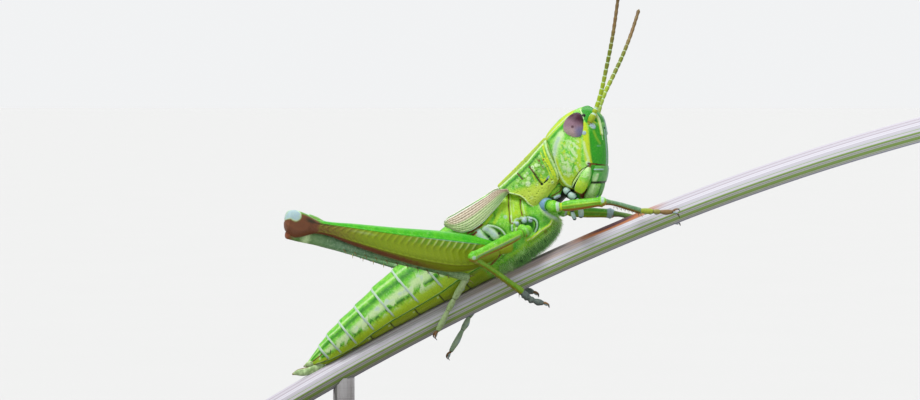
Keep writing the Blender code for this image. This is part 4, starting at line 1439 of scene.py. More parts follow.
@dataclass
class Head:
    """The head capsule with eyes, simple eyes, feelers, face shield, lip, jaws and mouth feelers."""

    axes: Axes
    levels: tuple[Level, ...] = tuple(Level(*row) for row in (
        (2.42, 1.84, 2.26, 0.28), (2.18, 1.24, 2.54, 0.66), (1.85, 0.68, 2.84, 0.98),
        (1.38, 0.18, 2.99, 1.22), (0.8, -0.28, 3.08, 1.38), (0.15, -0.38, 3.16, 1.46),
        (-0.45, -0.2, 3.18, 1.48), (-0.95, 0.0, 3.15, 1.42), (-1.5, 0.24, 2.96, 1.28),
        (-1.92, 0.58, 2.6, 1.1), (-2.22, 1.02, 2.14, 0.78),
    ))
    shield_levels: tuple[Level, ...] = tuple(Level(*row) for row in (
        (-0.8, 2.32, 3.16, 0.94), (-1.2, 2.36, 3.15, 0.95), (-1.6, 2.34, 3.07, 0.9), (-1.8, 2.28, 3.0, 0.84),
    ))
    lip_levels: tuple[Level, ...] = tuple(Level(*row) for row in (
        (-1.72, 2.3, 3.0, 0.82), (-2.15, 2.1, 2.9, 0.82), (-2.5, 1.92, 2.76, 0.74), (-2.8, 1.84, 2.5, 0.5),
    ))
    throat_centre: Point = (1.4, 0.0, -2.22)
    throat_radii: Point = (0.75, 0.55, 0.55)
    feeler_joints: int = 17
    eye_centre: Point = (1.65, 1.05, 1.34)
    eye_radii: Point = (0.59, 0.55, 0.74)

    def eye_point(self, direction: Array, side: Side, swell: float = 0.0) -> Array:
        """Return points on an eye, for unit directions: blunt below, pointed above, straight in front."""
        forward, beside, up = (direction * (np.array(self.eye_radii) + swell)).T
        height = direction[:, 2]
        shaped = np.stack([forward * (1.0 - 0.13 * height) + 0.19 * height ** 2 - 0.05, beside, up], 1)
        return shaped + np.array(self.eye_centre) * (1.0, side.value, 1.0)

    def eye_ring(self, swell: float, count: int = 40) -> Array:
        """Return a folded ring of points round the eye's edge on the capsule."""
        angle = np.linspace(0.0, 2.0 * math.pi, count)
        flat = np.stack([np.sin(angle), np.full(count, 0.42), np.cos(angle)], 1)
        flat[:, 0] *= 0.93
        flat[:, 2] *= 0.93
        return self.eye_point(flat, Side.LEFT, swell)

    def capsule(self, finish: Finish) -> None:
        """Build the capsule with its keels, sutures and rims."""
        skin = Skin("head_capsule", self.axes, 320, 250, level_place(self.levels, 1.0))
        forward, beside, up = skin.points.T
        flank = np.abs(beside)
        self.cheek(skin, forward, up)
        self.brow(skin, forward, flank, up)
        self.mouth_rims(skin)
        chosen, near = skin.nearness(self.eye_ring(0.05), 0.13, 0.9)
        skin.lay(PALE, chosen, near * rise(skin.points[chosen, 2], 1.0, 1.5) * 0.75, 0.04)
        chosen, near = skin.nearness(self.eye_ring(0.02), 0.055, 0.9)
        skin.lay(INK, chosen, near * 0.55, -0.02)
        # painted shade: the throat ball under the head is dark all over and darkest behind, filling the
        # shaded gap between head, thorax and stem; its front is rusty
        throat = Skin.ball("throat", self.axes, 5,
                           lambda unit: unit * self.throat_radii + np.array(self.throat_centre))
        throat.wash(DEEP, 0.8)
        throat.wash(INK, rise(throat.points[:, 0], 1.8, 1.3) * 0.8)
        throat.wash(RUST, rise(throat.points[:, 0], 1.6, 1.9))
        throat.piece(finish, "green_cuticle")
        skin.piece(finish, "green_cuticle", ("head",))

    def brow(self, skin: Skin, forward: Array, flank: Array, up: Array) -> None:
        """Dress the face and the crown: the keels, the green front and the feelers' sockets.

        Args:
            skin: The capsule's skin.
            forward: Its points' places ahead of the neck.
            flank: Their distances from the middle.
            up: Their heights over the neck.
        """
        front = rise(forward, 2.36, 2.56)
        skin.wash(DEEP, front * rise(up, 1.75, 1.2) * 0.72)
        skin.wash(BLUE,
                  rise(flank, 0.24, 0.06) * rise(forward, 2.9, 3.05) * rise(up, 1.7, 1.2) * 0.45, -0.04)
        skin.wash(BLUE,
                  rise(skin.points[:, 1], 0.2, 0.34) * rise(forward, 2.6, 2.8) * rise(up, 2.1, 1.8) * 0.6)
        keel = ((2.18, 1.38), (2.3, 0.9), (2.34, 0.57), (2.44, -0.25), (2.51, -0.66))
        skin.line(YELLOW, keel, 0.58, 0.85, 0.05, 0.8)
        skin.line(DEEP, shifted(keel, 0.26, 0.0), 0.12, 0.5, -0.03)
        skin.line(PALE, ((2.22, 0.45), (2.3, 0.1), (2.39, -0.2), (2.48, -0.5)), 0.3, 0.55, 0.02, 0.9)
        costa = ((2.62, 0.46, 1.96), (2.76, 0.46, 1.8), (2.85, 0.45, 1.6), (2.93, 0.45, 1.28),
                 (3.0, 0.44, 0.95))
        skin.line(DEEP, shifted(costa, 0.0, 0.16, 0.0), 0.16, 0.7, -0.05)
        skin.line(YELLOW, costa, 0.4, 0.95, 0.06, 0.9)
        skin.line(PALE, costa[1:], 0.3, 0.95, 0.02, 0.9)
        skin.line(PALE, ((3.0, 0.44, 0.95), (3.06, 0.42, 0.6)), 0.12, 0.7, 0.03)
        skin.line(YELLOW, ((2.66, 0.84, 1.05), (2.8, 0.76, 0.66), (2.94, 0.62, 0.4)), 0.42, 0.34, 0.0, 1.0)
        skin.spot(INK, (3.02, 0.55, 0.36), 0.16, 0.3)
        skin.line(BLUE, ((2.86, 0.8, 0.26), (2.98, 0.62, 0.26)), 0.16, 0.28)
        crown = rise(up, 1.42, 1.62) * rise(forward + 0.55 * (up - 1.42), 2.26, 2.38)
        skin.wash(DEEP, crown * 0.95)
        skin.wash(INK, crown * 0.22)
        skin.wash(None, rise(up, 2.2, 2.3) * hump(flank, 0.0, 0.07), 0.03)
        skin.line(PALE, ((1.78, 2.24), (1.92, 2.1), (2.04, 1.92), (2.12, 1.72)), 0.09, 0.95, 0.03)
        skin.spot(BLUE, (2.22, 0.96), 0.15, 0.95, 0.03)
        skin.spot(PALE, (2.22, 1.0), 0.12, 0.9)
        skin.line(BLUE, ((2.5, 0.9, 1.42), (2.66, 0.82, 1.3)), 0.4, 0.9, 0.05, 0.9)
        skin.spot(PALE, (2.6, 0.86, 1.36), 0.22, 0.8)
        skin.line(YELLOW, ((2.46, 0.92, 1.48), (2.6, 0.84, 1.58), (2.72, 0.7, 1.54)), 0.13, 0.9, 0.05)
        skin.line(RUST, ((2.38, 0.96, 1.5), (2.42, 0.94, 1.4)), 0.07, 0.5)

    @staticmethod
    def mouth_rims(skin: Skin) -> None:
        """Lay the cheek's pale back rim, the brow suture and the double groove above the jaw."""
        rim = ((0.3, -0.3), (0.4, -0.75), (0.5, -1.1), (0.66, -1.48), (0.86, -1.82), (1.14, -2.06),
               (1.45, -2.12))
        skin.line(YELLOW, shifted(rim, 0.28, 0.17), 0.46, 0.6, 0.0, 0.9)
        skin.line(PALE, shifted(rim, 0.2, 0.12), 0.32, 0.66, 0.05, 0.9)
        skin.line(DEEP, shifted(rim[2:], 0.42, 0.27), 0.12, 0.4, -0.02, 1.0)
        skin.line(RUST, shifted(rim, 0.02, 0.01), 0.1, 0.8, -0.02)
        brow = ((2.85, 0.9, -0.76), (3.02, 0.6, -0.78), (3.12, 0.2, -0.8), (3.14, 0.0, -0.8))
        skin.line(RUST, ((2.46, -0.7), (2.62, -0.72), (2.85, -0.74)), 0.11, 0.9, -0.05)
        skin.line(RUST, brow, 0.1, 0.9, -0.04)
        skin.line(INK, brow, 0.06, 0.8)
        skin.spot(PALE, (2.44, -0.66), 0.17, 0.8, 0.03)
        skin.spot(BLUE, (2.5, -0.72), 0.14, 0.8)
        skin.spot(RUST, (2.56, -0.78), 0.1, 0.9)
        subgenal = ((2.47, -0.84), (2.24, -1.13), (2.0, -1.46), (1.7, -1.84), (1.52, -2.08))
        skin.line(INK, subgenal, 0.13, 1.0, -0.07)
        bow = (0.02, 0.16, 0.19, 0.15, 0.03)
        skin.line(PALE, tuple((x - 0.55 * b, z + 0.2 * b) for (x, z), b in zip(subgenal, bow)),
                  0.13, 0.65, 0.05)
        skin.line(INK, tuple((x - b, z + 0.3 * b) for (x, z), b in zip(subgenal, bow)), 0.06, 0.8, -0.03)

    def cheek(self, skin: Skin, forward: Array, up: Array) -> None:
        """Dress the cheek: a yellow band behind the eye, soft mottling and two pale patches."""
        line = 1.02 + 0.98 * (forward - 0.35)
        behind = rise(forward, 1.6, 1.3)
        skin.wash(YELLOW, hump(up - line, 0.13, 0.44) * behind * 0.95)
        skin.wash(DEEP, hump(up - line, -0.34, 0.36) * behind * rise(up, 0.3, 0.8) * 0.65)
        # painted highlight: a pale line along the yellow band behind the eye
        skin.line(PALE, ((1.2, 1.86), (0.9, 1.57), (0.58, 1.26), (0.28, 0.97), (0.0, 0.7)), 0.12, 0.9, 0.03)
        inside = rise(forward, 2.3, 2.05) * rise(up, 1.0, 0.5)
        skin.wash(YELLOW, inside * rise(up, -0.9, -1.5) * 0.6)
        skin.wash(YELLOW, inside * hump(forward, 2.0, 0.35) * 0.55)
        skin.wash(DEEP, rise(forward, 0.45, 0.15) * hump(up, 0.45, 0.55) * 0.55)
        cloud = ripple(skin.points, 0.3, 8)
        net = rise(forward, 2.25, 1.95) * rise(up, 0.75, 0.45) * rise(up, -1.55, -1.25)
        net *= rise(forward, 0.8, 1.05)
        skin.wash(PALE, net * rise(cloud, 0.52, 0.78) * 0.6)
        skin.wash(DEEP, net * hump(cloud, 0.43, 0.07) * 0.5)
        skin.wash(YELLOW, net * rise(cloud, 0.34, 0.2) * 0.5)
        skin.line(PALE, ((0.92, 0.86), (0.7, 0.4), (0.6, 0.05), (0.54, -0.25)), 0.96, 0.74, 0.0, 1.0)
        skin.line(BLUE, ((0.8, 0.66), (0.66, 0.3), (0.6, 0.05), (0.56, -0.2)), 0.54, 0.46, 0.0, 1.0)
        for place, size, share in (
            ((1.16, -0.94), 0.34, 0.8), ((1.42, -1.02), 0.32, 0.85), ((0.92, -0.78), 0.26, 0.45),
            ((1.36, -1.34), 0.26, 0.6), ((1.64, -0.5), 0.32, 0.6), ((1.76, -0.1), 0.26, 0.5),
            ((1.25, 0.22), 0.3, 0.5), ((1.52, 0.12), 0.26, 0.5), ((1.24, -0.26), 0.3, 0.45),
            ((1.46, 0.42), 0.24, 0.4), ((1.5, -0.28), 0.24, 0.45), ((1.06, 0.05), 0.22, 0.35),
        ):
            skin.spot(PALE, place, size, share, 0.01, 1.0)
            skin.spot(BLUE, place, size * 0.6, share * 0.3, 0.0, 1.0)
        for route in (((0.78, -0.36), (1.0, -0.42), (1.18, -0.36)), ((1.45, 0.62), (1.42, 0.34)),
                      ((1.85, 0.28), (1.82, -0.1)), ((1.05, -0.62), (1.26, -0.6))):
            skin.line(OLIVE, route, 0.16, 0.35, -0.01, 1.0)
        for route in (((1.2, 0.48), (1.14, 0.1)), ((1.5, -0.2), (1.62, -0.6)), ((1.1, -0.15), (1.22, -0.32)),
                      ((1.75, -0.7), (1.6, -1.1)), ((1.16, -1.25), (1.0, -1.42))):
            skin.line(DEEP, route, 0.16, 0.62, -0.02, 1.0)
        for row in range(5):
            for step in range(6):
                place = (0.98 + 0.19 * step + 0.09 * (row % 2), 0.42 - 0.3 * row - 0.04 * step)
                turn = 2.3 * step + 1.7 * row
                ahead, high = 0.09 * math.cos(turn), 0.09 * math.sin(turn)
                route = ((place[0] - ahead, place[1] - high), (place[0] + ahead, place[1] + high))
                skin.line(DEEP if (row + step) % 3 else YELLOW, route, 0.1, 0.42, -0.01, 1.0)

    def eyes(self, finish: Finish, ocellus: Finish) -> None:
        """Build both compound eyes and the three simple eyes."""
        for side in Side:
            skin = Skin.ball(f"eye_{side.word}_dome", self.axes, 6,
                             lambda unit, side=side: self.eye_point(unit, side))
            unit = (skin.points - np.array(self.eye_centre) * (1.0, side.value, 1.0))
            outward = unit[:, 1] * side.value / self.eye_radii[1]
            skin.wash("eye_height", unit[:, 2] / 1.4 + 0.5)
            skin.wash("eye_front", unit[:, 0] / 1.1 + 0.5)
            skin.wash("eye_ring", rise(outward, 0.3, 0.18))
            spot = np.hypot(unit[:, 0] - 0.04, unit[:, 2] + 0.04)
            skin.wash("eye_spot", rise(spot, 0.11, 0.04) * (outward > 0.5))
            skin.piece(finish, "eye", (f"eye_{side.word}",))
        made = []
        for name, place, size in (("right", (2.1, -0.86, 1.9), 0.105), ("left", (2.1, 0.86, 1.9), 0.105),
                                  ("middle", (2.97, 0.0, 1.22), 0.075)):
            skin = Skin.ball(f"simple_eye_{name}", self.axes, 4,
                             lambda unit, place=place, size=size: unit * size + np.array(place))
            skin.wash(INK, 1.0)
            made.append(skin.piece(ocellus, "eye"))
        join("simple_eyes", made)

    def face(self, finish: Finish) -> None:
        """Build the face shield and the lip below it."""
        shield = Skin("face_shield", self.axes, 180, 70, level_place(self.shield_levels, 0.95))
        beside, up = shield.points.T[1:]
        flank = np.abs(beside)
        shield.wash(DEEP, 0.55)
        shield.wash(BLUE, 0.2 + 0.3 * rise(beside, -0.1, 0.4))
        shield.wash(BLUE, hump(up, -1.02, 0.07) * rise(flank, 0.3, 0.6) * 0.8, 0.03)
        shield.wash(INK, hump(up, -1.12, 0.05) * rise(flank, 0.3, 0.6) * 0.6)
        shield.wash(INK, rise(up, -1.62, -1.7) * 0.7)
        shield.wash(PALE, hump(flank, 0.88, 0.12) * rise(up, -1.15, -1.3) * 0.6, 0.03)
        shield.piece(finish, "green_cuticle")
        lip = Skin("lip_plate", self.axes, 160, 90, level_place(self.lip_levels, 0.95))
        beside, up = lip.points.T[1:]
        flank = np.abs(beside)
        lip.wash(DEEP, rise(flank, 0.55, 0.35) * 0.6)
        lip.wash(PALE, rise(flank, 0.42, 0.72) * rise(up, -1.8, -1.95) * 0.45)
        lip.wash(PALE, hump(flank, 0.8, 0.1) * 0.6, 0.03)
        lip.wash(INK, hump(flank, 0.36, 0.06) * rise(up, -1.9, -2.0) * 0.7, -0.04)
        lip.wash(None, hump(flank, 0.0, 0.16) * rise(up, -2.0, -2.6), -0.06)
        lip.wash(BLUE, hump(flank, 0.3, 0.15) * hump(up, -2.55, 0.15) * 0.9)
        lip.wash(INK, rise(up, -1.85, -1.78) * 0.6)
        lip.piece(finish, "green_cuticle", ("clypeus_labrum",))

    def jaws(self, finish: Finish) -> None:
        """Build both mandibles, each with a hinge at its top and a dark cutting edge."""
        route = ((2.48, 1.02, -0.92), (2.33, 1.12, -1.32), (2.1, 1.1, -1.8), (1.84, 0.95, -2.24))
        sizes = girths(1.0, (0.0, 0.12, 0.18), (0.2, 0.23, 0.26), (0.55, 0.3, 0.28), (0.85, 0.3, 0.24),
                       (1.0, 0.22, 0.18))
        for side in Side:
            skin = limb_skin(f"mandible_{side.word}_plate",
                             [(x, side.value * y, z) for x, y, z in route], sizes,
                             (1.0, 0.0, 0.0), 80, 150, 0.75, self.axes, 0.5)
            skin.wash(YELLOW, rise(skin.along, 0.25, 0.65) * 0.55)
            skin.wash(PALE, rise(skin.along, 0.55, 0.2) * 0.45)
            edge = np.minimum(skin.across, 1.0 - skin.across)
            skin.wash(PALE, hump(edge, 0.42, 0.06) * 0.55, 0.02)
            skin.wash(INK, rise(edge, 0.455, 0.49) * 0.8)
            skin.wash(RUST, rise(skin.along, 0.9, 0.96))
            skin.wash(RUST, rise(skin.along, 0.08, 0.02) * 0.9)
            skin.piece(finish, "green_cuticle", (f"mandible_{side.word}",))

    def mouth_feelers(self, finish: Finish) -> None:
        """Build the jointed palps: four joints on each jaw palp and three on each lip palp."""
        routes = {
            (Side.RIGHT, "jaw"): (
                (1.0, 0.85, -2.07), (1.38, 0.9, -2.43), (1.71, 0.85, -2.74), (1.9, 0.8, -3.18),
                (1.9, 0.7, -3.6)),
            (Side.RIGHT, "lip"): (
                (1.45, 0.45, -2.3), (1.32, 0.5, -2.95), (1.34, 0.5, -3.4), (1.46, 0.45, -3.76)),
            (Side.LEFT, "jaw"): (
                (1.0, 0.8, -2.05), (1.2, 0.86, -2.4), (1.4, 0.76, -2.85), (1.5, 0.6, -3.3)),
            (Side.LEFT, "lip"): (
                (1.4, 0.4, -2.3), (1.38, 0.44, -2.75), (1.44, 0.4, -3.1), (1.56, 0.36, -3.4)),
        }
        for side in Side:
            made = []
            for kind, thick in (("jaw", 0.2), ("lip", 0.15)):
                fine = resample([(x, side.value * y, z) for x, y, z in routes[side, kind]], 17)
                for joint, (start, end) in enumerate(((0, 3), (3, 7), (7, 11), (11, 16))):
                    size = thick * (1.0, 1.0, 0.88, 0.8)[joint]
                    skin = limb_skin(f"palp_{kind}_{joint}_{side.word}", fine[start:end + 1],
                                     girths(size, (0.0, 0.65), (0.55, 1.0), (1.0, 0.85)),
                                     (0.0, side.value, 0.1), 24, 32, 1.0, self.axes, 0.8)
                    skin.wash(BLUE, 0.55)
                    skin.wash(PALE, hump(skin.along, 0.5, 0.4) * 0.8)
                    skin.wash(DEEP, (rise(skin.along, 0.26, 0.1) + rise(skin.along, 0.8, 0.94)) * 0.9)
                    skin.wash(INK, (rise(skin.along, 0.16, 0.05) + rise(skin.along, 0.88, 0.97)) * 0.9)
                    made.append(skin.piece(finish, "pale_cuticle"))
            whole = join(f"palps_{side.word}", made)
            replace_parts(whole, f"palp_{side.word}")

    def feelers(self, finish: Finish) -> None:
        """Build both feelers: a thick first joint, a short second one and a whip of small joints."""
        for side, roots in ((Side.RIGHT, ((2.42, -0.9, 1.48), (2.6, -0.8, 1.88), (2.72, -0.66, 2.25))),
                            (Side.LEFT, ((2.3, 0.62, 1.1), (2.5, 0.8, 2.38)))):
            centres = ring_centres(f"antenna_{side.word}", (0.0, 0.0, 1.0), 0.35)
            fine = resample(np.vstack([self.axes.out(roots), centres[2:]]), 700)
            length = np.linalg.norm(np.diff(fine, axis=0), axis=1).sum()
            skin = limb_skin(f"feeler_{side.word}", fine[::7], girths(1.0, *self.feeler_sizes(length)),
                             (0.0, 1.0, 0.0), 24, 640, 1.0, LEVEL, 1.0)
            share = along_limb(skin.along)
            place = share * length
            joint = ((place - 0.95) / (length - 0.95) * self.feeler_joints) % 1.0
            joints = hump(place, 0.56, 0.1) + hump(place, 0.88, 0.07)
            whip = rise(place, 0.86, 0.95)
            skin.wash(YELLOW, rise(share, 0.55, 0.2) * 0.95)
            skin.wash(OLIVE, hump(share, 0.55, 0.35) * 0.8)
            skin.wash(RUST, rise(share, 0.45, 0.8) * 0.5)
            skin.wash(INK, rise(share, 0.55, 1.0) * 0.3)
            # painted shade: one side of the whip is darker, fading out past its first third
            skin.wash(DEEP, hump(skin.across, 0.25, 0.2) * whip * rise(share, 0.6, 0.3) * 0.35)
            ring = smooth_step(1.0 - np.minimum(joint, 1.0 - joint) / 0.14) * whip * rise(share, 0.85, 0.6)
            skin.wash(PALE, ring * 0.75)
            skin.wash(BLUE, ring * 0.35)
            skin.wash(BLUE, joints * 0.5)
            skin.wash(PALE, joints * 0.9)
            skin.wash(PALE, hump(place, 0.42, 0.16) * hump(skin.across, 0.8, 0.22) * 0.9)
            skin.wash(RUST, hump(place, 0.05, 0.08) * 0.6)
            if side is Side.LEFT:
                skin.wash(PALE, rise(share, 0.5, 0.1) * 0.3)
            skin.piece(finish, "brown_cuticle", (f"antenna_{side.word}",))

    def feeler_sizes(self, length: float) -> list[tuple[float, float]]:
        """Return (share, radius) stations of a feeler of a length."""
        sizes = [(0.0, 0.12), (0.2 / length, 0.175), (0.42 / length, 0.18), (0.55 / length, 0.15),
                 (0.61 / length, 0.11), (0.7 / length, 0.14), (0.84 / length, 0.13), (0.9 / length, 0.1)]
        start = 0.95 / length
        step = (1.0 - start) / self.feeler_joints
        for joint in range(self.feeler_joints):
            share = start + step * joint
            radius = 0.122 - 0.032 * joint / self.feeler_joints
            sizes.append((share, radius * 0.9))
            sizes.append((share + step * 0.35, radius * 0.98))
            sizes.append((share + step * 0.8, radius * 1.03))
        sizes.append((1.0, 0.045))
        return sizes


def ring_centres(node: str, direction: Sequence[float], gap: float) -> Array:
    """Return the middles of a CAD tube's rings, in millimetres, in order along a direction.

    Args:
        node: The tube's node.
        direction: The way that the tube runs.
        gap: A step in that direction over this many millimetres starts a new ring.
    """
    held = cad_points(node)
    places = held @ np.asarray(direction, float)
    order = np.argsort(places)
    breaks = np.flatnonzero(np.diff(places[order]) > gap) + 1
    rings = np.split(order, breaks)
    return np.array([np.unique(np.round(held[ring], 3), axis=0).mean(0) for ring in rings])


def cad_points(node: str) -> Array:
    """Return the points of a CAD node's mesh in millimetres."""
    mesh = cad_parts[node].data
    held = np.zeros(len(mesh.vertices) * 3, np.float32)
    mesh.vertices.foreach_get("co", held)
    return held.reshape(-1, 3).astype(float) / MM


# ---------------------------------------------------------------- legs


@dataclass(frozen=True)
class LegPose:
    """The joints of one leg, from the body outwards, in millimetres."""

    coxa: Point
    hip: Point
    knee: Point
    ankle: Point
    ball: Point
    toe: Point

    def joints(self) -> list[Array]:
        """Return the joints in order."""
        return [np.array(joint) for joint in astuple(self)]


class LegTone(Enum):
    """How a walking leg is coloured beyond its green thigh."""

    GOLD = "gold"
    TEAL = "teal"
    DARK = "dark"
    PALE = "pale"


@dataclass
class Spikes:
    """Small cones gathered in one mesh: spines, spurs and hairs."""

    name: str
    sides: int = 6
    shape: bmesh.types.BMesh = field(default_factory=bmesh.new)

    def add(self, base: Array, direction: Array, length: float, radius: float) -> None:
        """Add a cone that stands on a base point."""
        aim = Vector(direction).normalized()
        turn = aim.to_track_quat("Z", "Y").to_matrix().to_4x4()
        place = Matrix.Translation(Vector(base) + aim * (length / 2)) @ turn
        bmesh.ops.create_cone(self.shape, cap_ends=True, segments=self.sides, radius1=radius,
                              radius2=radius * 0.12, depth=length, matrix=place, calc_uvs=False)

    def piece(self, finish: Finish, slot: str) -> bpy.types.Object:
        """Make the cones a piece."""
        bmesh.ops.scale(self.shape, vec=(MM, MM, MM), verts=self.shape.verts)
        mesh = bpy.data.meshes.new(self.name)
        self.shape.to_mesh(mesh)
        self.shape.free()
        mesh.shade_smooth()
        return mount(self.name, mesh, finish)


@dataclass
class Foot:
    """A foot of three joints with pale pads below, two curved claws and the soft pad between them."""

    name: str
    route: Sequence[Array]
    up: Point
    radius: float = 0.15
    splay: float = 0.0
    joints: tuple[tuple[int, int, float], ...] = ((0, 26, 1.05), (25, 38, 0.9), (37, 60, 0.85))

    def build(self, finish: Finish, claw: Finish, tone: LegTone) -> list:
        """Build the foot's joints and claws and return them.

        Args:
            finish: The finish.
            claw: The claws' finish.
            tone: How its joints are coloured.

        Returns:
            The pieces.
        """
        fine = resample(self.route, 61)
        made = []
        for joint, (start, end, swell) in enumerate(self.joints):
            size = self.radius * swell
            skin = limb_skin(
                f"{self.name}_joint_{joint}", fine[start:end + 1:3],
                girths(size, (0.0, 0.75, 0.8), (0.35, 1.0, 0.95), (0.75, 1.05, 1.0), (1.0, 0.85)),
                self.up, 28, 60, 0.95, LEVEL, 0.7)
            below = hump(skin.across, 0.5, 0.22)
            pads = hump((skin.along * (3.0 if joint == 0 else 1.0)) % 1.0, 0.5, 0.4)
            tints = {
                LegTone.GOLD: ((YELLOW, 0.55 - 0.15 * joint), (RUST, 0.15 + 0.2 * joint)),
                LegTone.TEAL: ((BLUE, 0.35), (INK, 0.15)),
                LegTone.DARK: ((BLUE, 0.5), (INK, 0.5)),
                LegTone.PALE: ((PALE, 0.25),),
            }[tone]
            for mark, share in tints:
                skin.wash(mark, share)
            skin.wash(BLUE, below * pads * 0.8, 0.05)
            skin.wash(INK, (rise(skin.along, 0.9, 0.98) + rise(skin.along, 0.08, 0.02)) * 0.5)
            made.append(skin.piece(finish, "brown_cuticle"))
        tip, before = fine[-1], fine[-6]
        ahead = (tip - before) / np.linalg.norm(tip - before)
        above, beside = crossways(ahead, self.up)
        for turn in (-1.0, 1.0):
            spread = (beside * math.cos(self.splay) + above * math.sin(self.splay)) * turn
            hook = [tip - ahead * 0.05, tip + ahead * 0.14 + spread * 0.1 + above * 0.06,
                    tip + ahead * 0.3 + spread * 0.17 + above * 0.01,
                    tip + ahead * 0.38 + spread * 0.2 - above * 0.13]
            skin = limb_skin(f"{self.name}_claw_{'a' if turn < 0 else 'b'}", hook,
                             girths(1.0, (0.0, 0.075, 0.06), (0.5, 0.05, 0.045), (1.0, 0.012)),
                             self.up, 16, 40, 1.0, LEVEL, 1.0)
            skin.wash(RUST, 0.6)
            skin.wash(INK, rise(skin.along, 0.45, 0.9))
            made.append(skin.piece(claw, "brown_cuticle"))
        route = [tip, tip + ahead * 0.12 - above * 0.02, tip + ahead * 0.24 - above * 0.05]
        pad = limb_skin(f"{self.name}_pad", route,
                        girths(1.0, (0.0, 0.05, 0.06), (0.6, 0.06, 0.1), (1.0, 0.04, 0.08)),
                        self.up, 20, 24)
        pad.wash(BLUE, 0.6)
        made.append(pad.piece(finish, "brown_cuticle"))
        return made


@dataclass
class WalkingLeg:
    """A fore or middle leg: hip joints, thigh, shin with spines and spurs, and foot."""

    name: str
    pose: LegPose
    tone: LegTone
    thick: float = 0.27
    up: Point = (0.0, 0.0, 1.0)
    spine_count: int = 6
    first_spine: float = 0.34
    spine_gap: float = 0.105

    @property
    def fore(self) -> bool:
        """Return whether it is a fore leg."""
        return self.tone is not LegTone.DARK

    def build(self, looks: Looks) -> None:
        """Build the leg's pieces."""
        coxa, hip, knee, ankle, instep, toe = self.pose.joints()
        slim = self.thick * (0.62 if self.fore else 0.68)
        self.hip(coxa, hip).piece(looks["hip"], "green_cuticle")
        self.thigh(hip, knee).piece(looks["limb"], "green_cuticle", (f"{self.name}_femur",))
        shin_look = looks["teal"] if self.fore else looks["limb"]
        self.shin(knee, ankle, slim).piece(shin_look, "blue_green_cuticle", (f"{self.name}_tibia",))
        splay = 1.1 if self.tone is LegTone.GOLD else 0.0
        foot = Foot(f"{self.name}_foot", [ankle, instep, toe], self.up,
                    slim * (0.84 if self.fore else 1.0), splay)
        parts = foot.build(looks["horn"], looks["horn"], self.tone)
        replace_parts(join(f"{self.name}_foot_skin", parts), f"{self.name}_tarsus")
        self.spines(knee, ankle, slim, looks["horn"])

    def hip(self, coxa: Array, hip: Array) -> Skin:
        """Return the hip joints, with a blue fold at the body and a dark joint past the middle.

        Args:
            coxa: The leg's root.
            hip: Where the thigh starts.

        Returns:
            The skin.
        """
        low = np.array((0.0, 0.0, 0.0 if self.fore else -0.16))
        root = coxa + (coxa - hip) * 0.6 + low
        reach, size = (1.04, 0.34) if self.fore else (0.6, 0.25)
        skin = limb_skin(f"{self.name}_coxa", [root, coxa + low, coxa * (1.0 - reach) + hip * reach],
                         girths(size, (0.0, 1.0), (0.42, 1.0), (0.52, 0.85), (0.72, 1.0), (1.0, 0.8)),
                         self.up, 48, 80, 0.95, LEVEL, 0.8)
        inner = rise(skin.along, 0.5, 0.44) if self.fore else hump(skin.along, 0.2, 0.16)
        skin.wash(BLUE, inner * 0.9, 0.03)
        skin.wash(DEEP, hump(skin.along, 0.52, 0.05) * 0.8, -0.03)
        skin.wash(YELLOW, hump(skin.along, 0.75, 0.1) * 0.3)
        return skin

    def thigh(self, hip: Array, knee: Array) -> Skin:
        """Return the thigh, with its olive underside, a pale cuff at the hip and a pale ball at the knee.

        Args:
            hip: Where the thigh starts.
            knee: Where the thigh meets the shin.

        Returns:
            The skin.
        """
        run = knee - hip
        skin = limb_skin(
            f"{self.name}_thigh_skin",
            [hip - run / np.linalg.norm(run) * 0.12, hip + run * 0.3, hip + run * 0.7, knee],
            girths(self.thick, (0.0, 1.02, 1.0), (0.07, 1.12, 1.08), (0.14, 0.84, 0.8), (0.22, 1.0, 0.85),
                   (0.5, 1.08, 0.9), (0.82, 0.95, 0.84), (0.9, 0.95, 0.86), (0.97, 1.1, 0.95),
                   (1.0, 0.92, 0.85)),
            self.up, 72, 200, 0.9, LEVEL, 0.9)
        along, below = skin.along, np.abs(skin.across - 0.5)
        low = rise(below, 0.24, 0.1)
        run = rise(along, 0.16, 0.24) * rise(along, 0.97, 0.9)
        stripe = hump(below, 0.235, 0.075) * run
        skin.wash(OLIVE, low * run * 0.9)
        skin.wash(RUST, low * run * (0.72 if self.tone is not LegTone.TEAL else 0.15))
        skin.wash(YELLOW, hump(below, 0.27, 0.08) * run * 0.3)
        skin.wash(OLIVE, stripe * 0.5)
        skin.wash(BLUE, stripe * (0.36 if self.tone is LegTone.DARK else 0.08))
        skin.wash(None, hump(below, 0.25, 0.04) * run, 0.025)
        if self.tone is LegTone.TEAL:
            skin.wash(BLUE, rise(along, 0.82, 0.88) * 0.85)
            skin.wash(DEEP, run * (1.0 - low) * 0.4)
        place, bright = (0.13, 1.0) if self.fore else (0.1, 0.35)
        cuff = hump(along, place, 0.05) * rise(below, 0.06, 0.16)
        skin.wash(DEEP, hump(along, place + 0.055, 0.022) * 0.7, -0.03)
        skin.wash(YELLOW, hump(along, place + 0.06, 0.035) * 0.8 * bright)
        skin.wash(RUST, hump(along, place + 0.025, 0.014) * rise(below, 0.3, 0.15) * 0.7)
        skin.wash(PALE, cuff * 0.9 * bright)
        skin.wash(BLUE, cuff * 0.55 * bright)
        tip = hump(along, 0.955, 0.045) * (rise(below, 0.16, 0.26) if self.fore else hump(below, 0.24, 0.12))
        skin.wash(PALE, tip * 0.8)
        skin.wash(BLUE, tip * 0.6)
        skin.wash(RUST, rise(along, 0.9, 0.96) * (1.0 - tip) * rise(below, 0.34, 0.2) * 0.6)
        skin.wash(DEEP, hump(along, 0.895, 0.02) * 0.4, -0.02)
        return skin

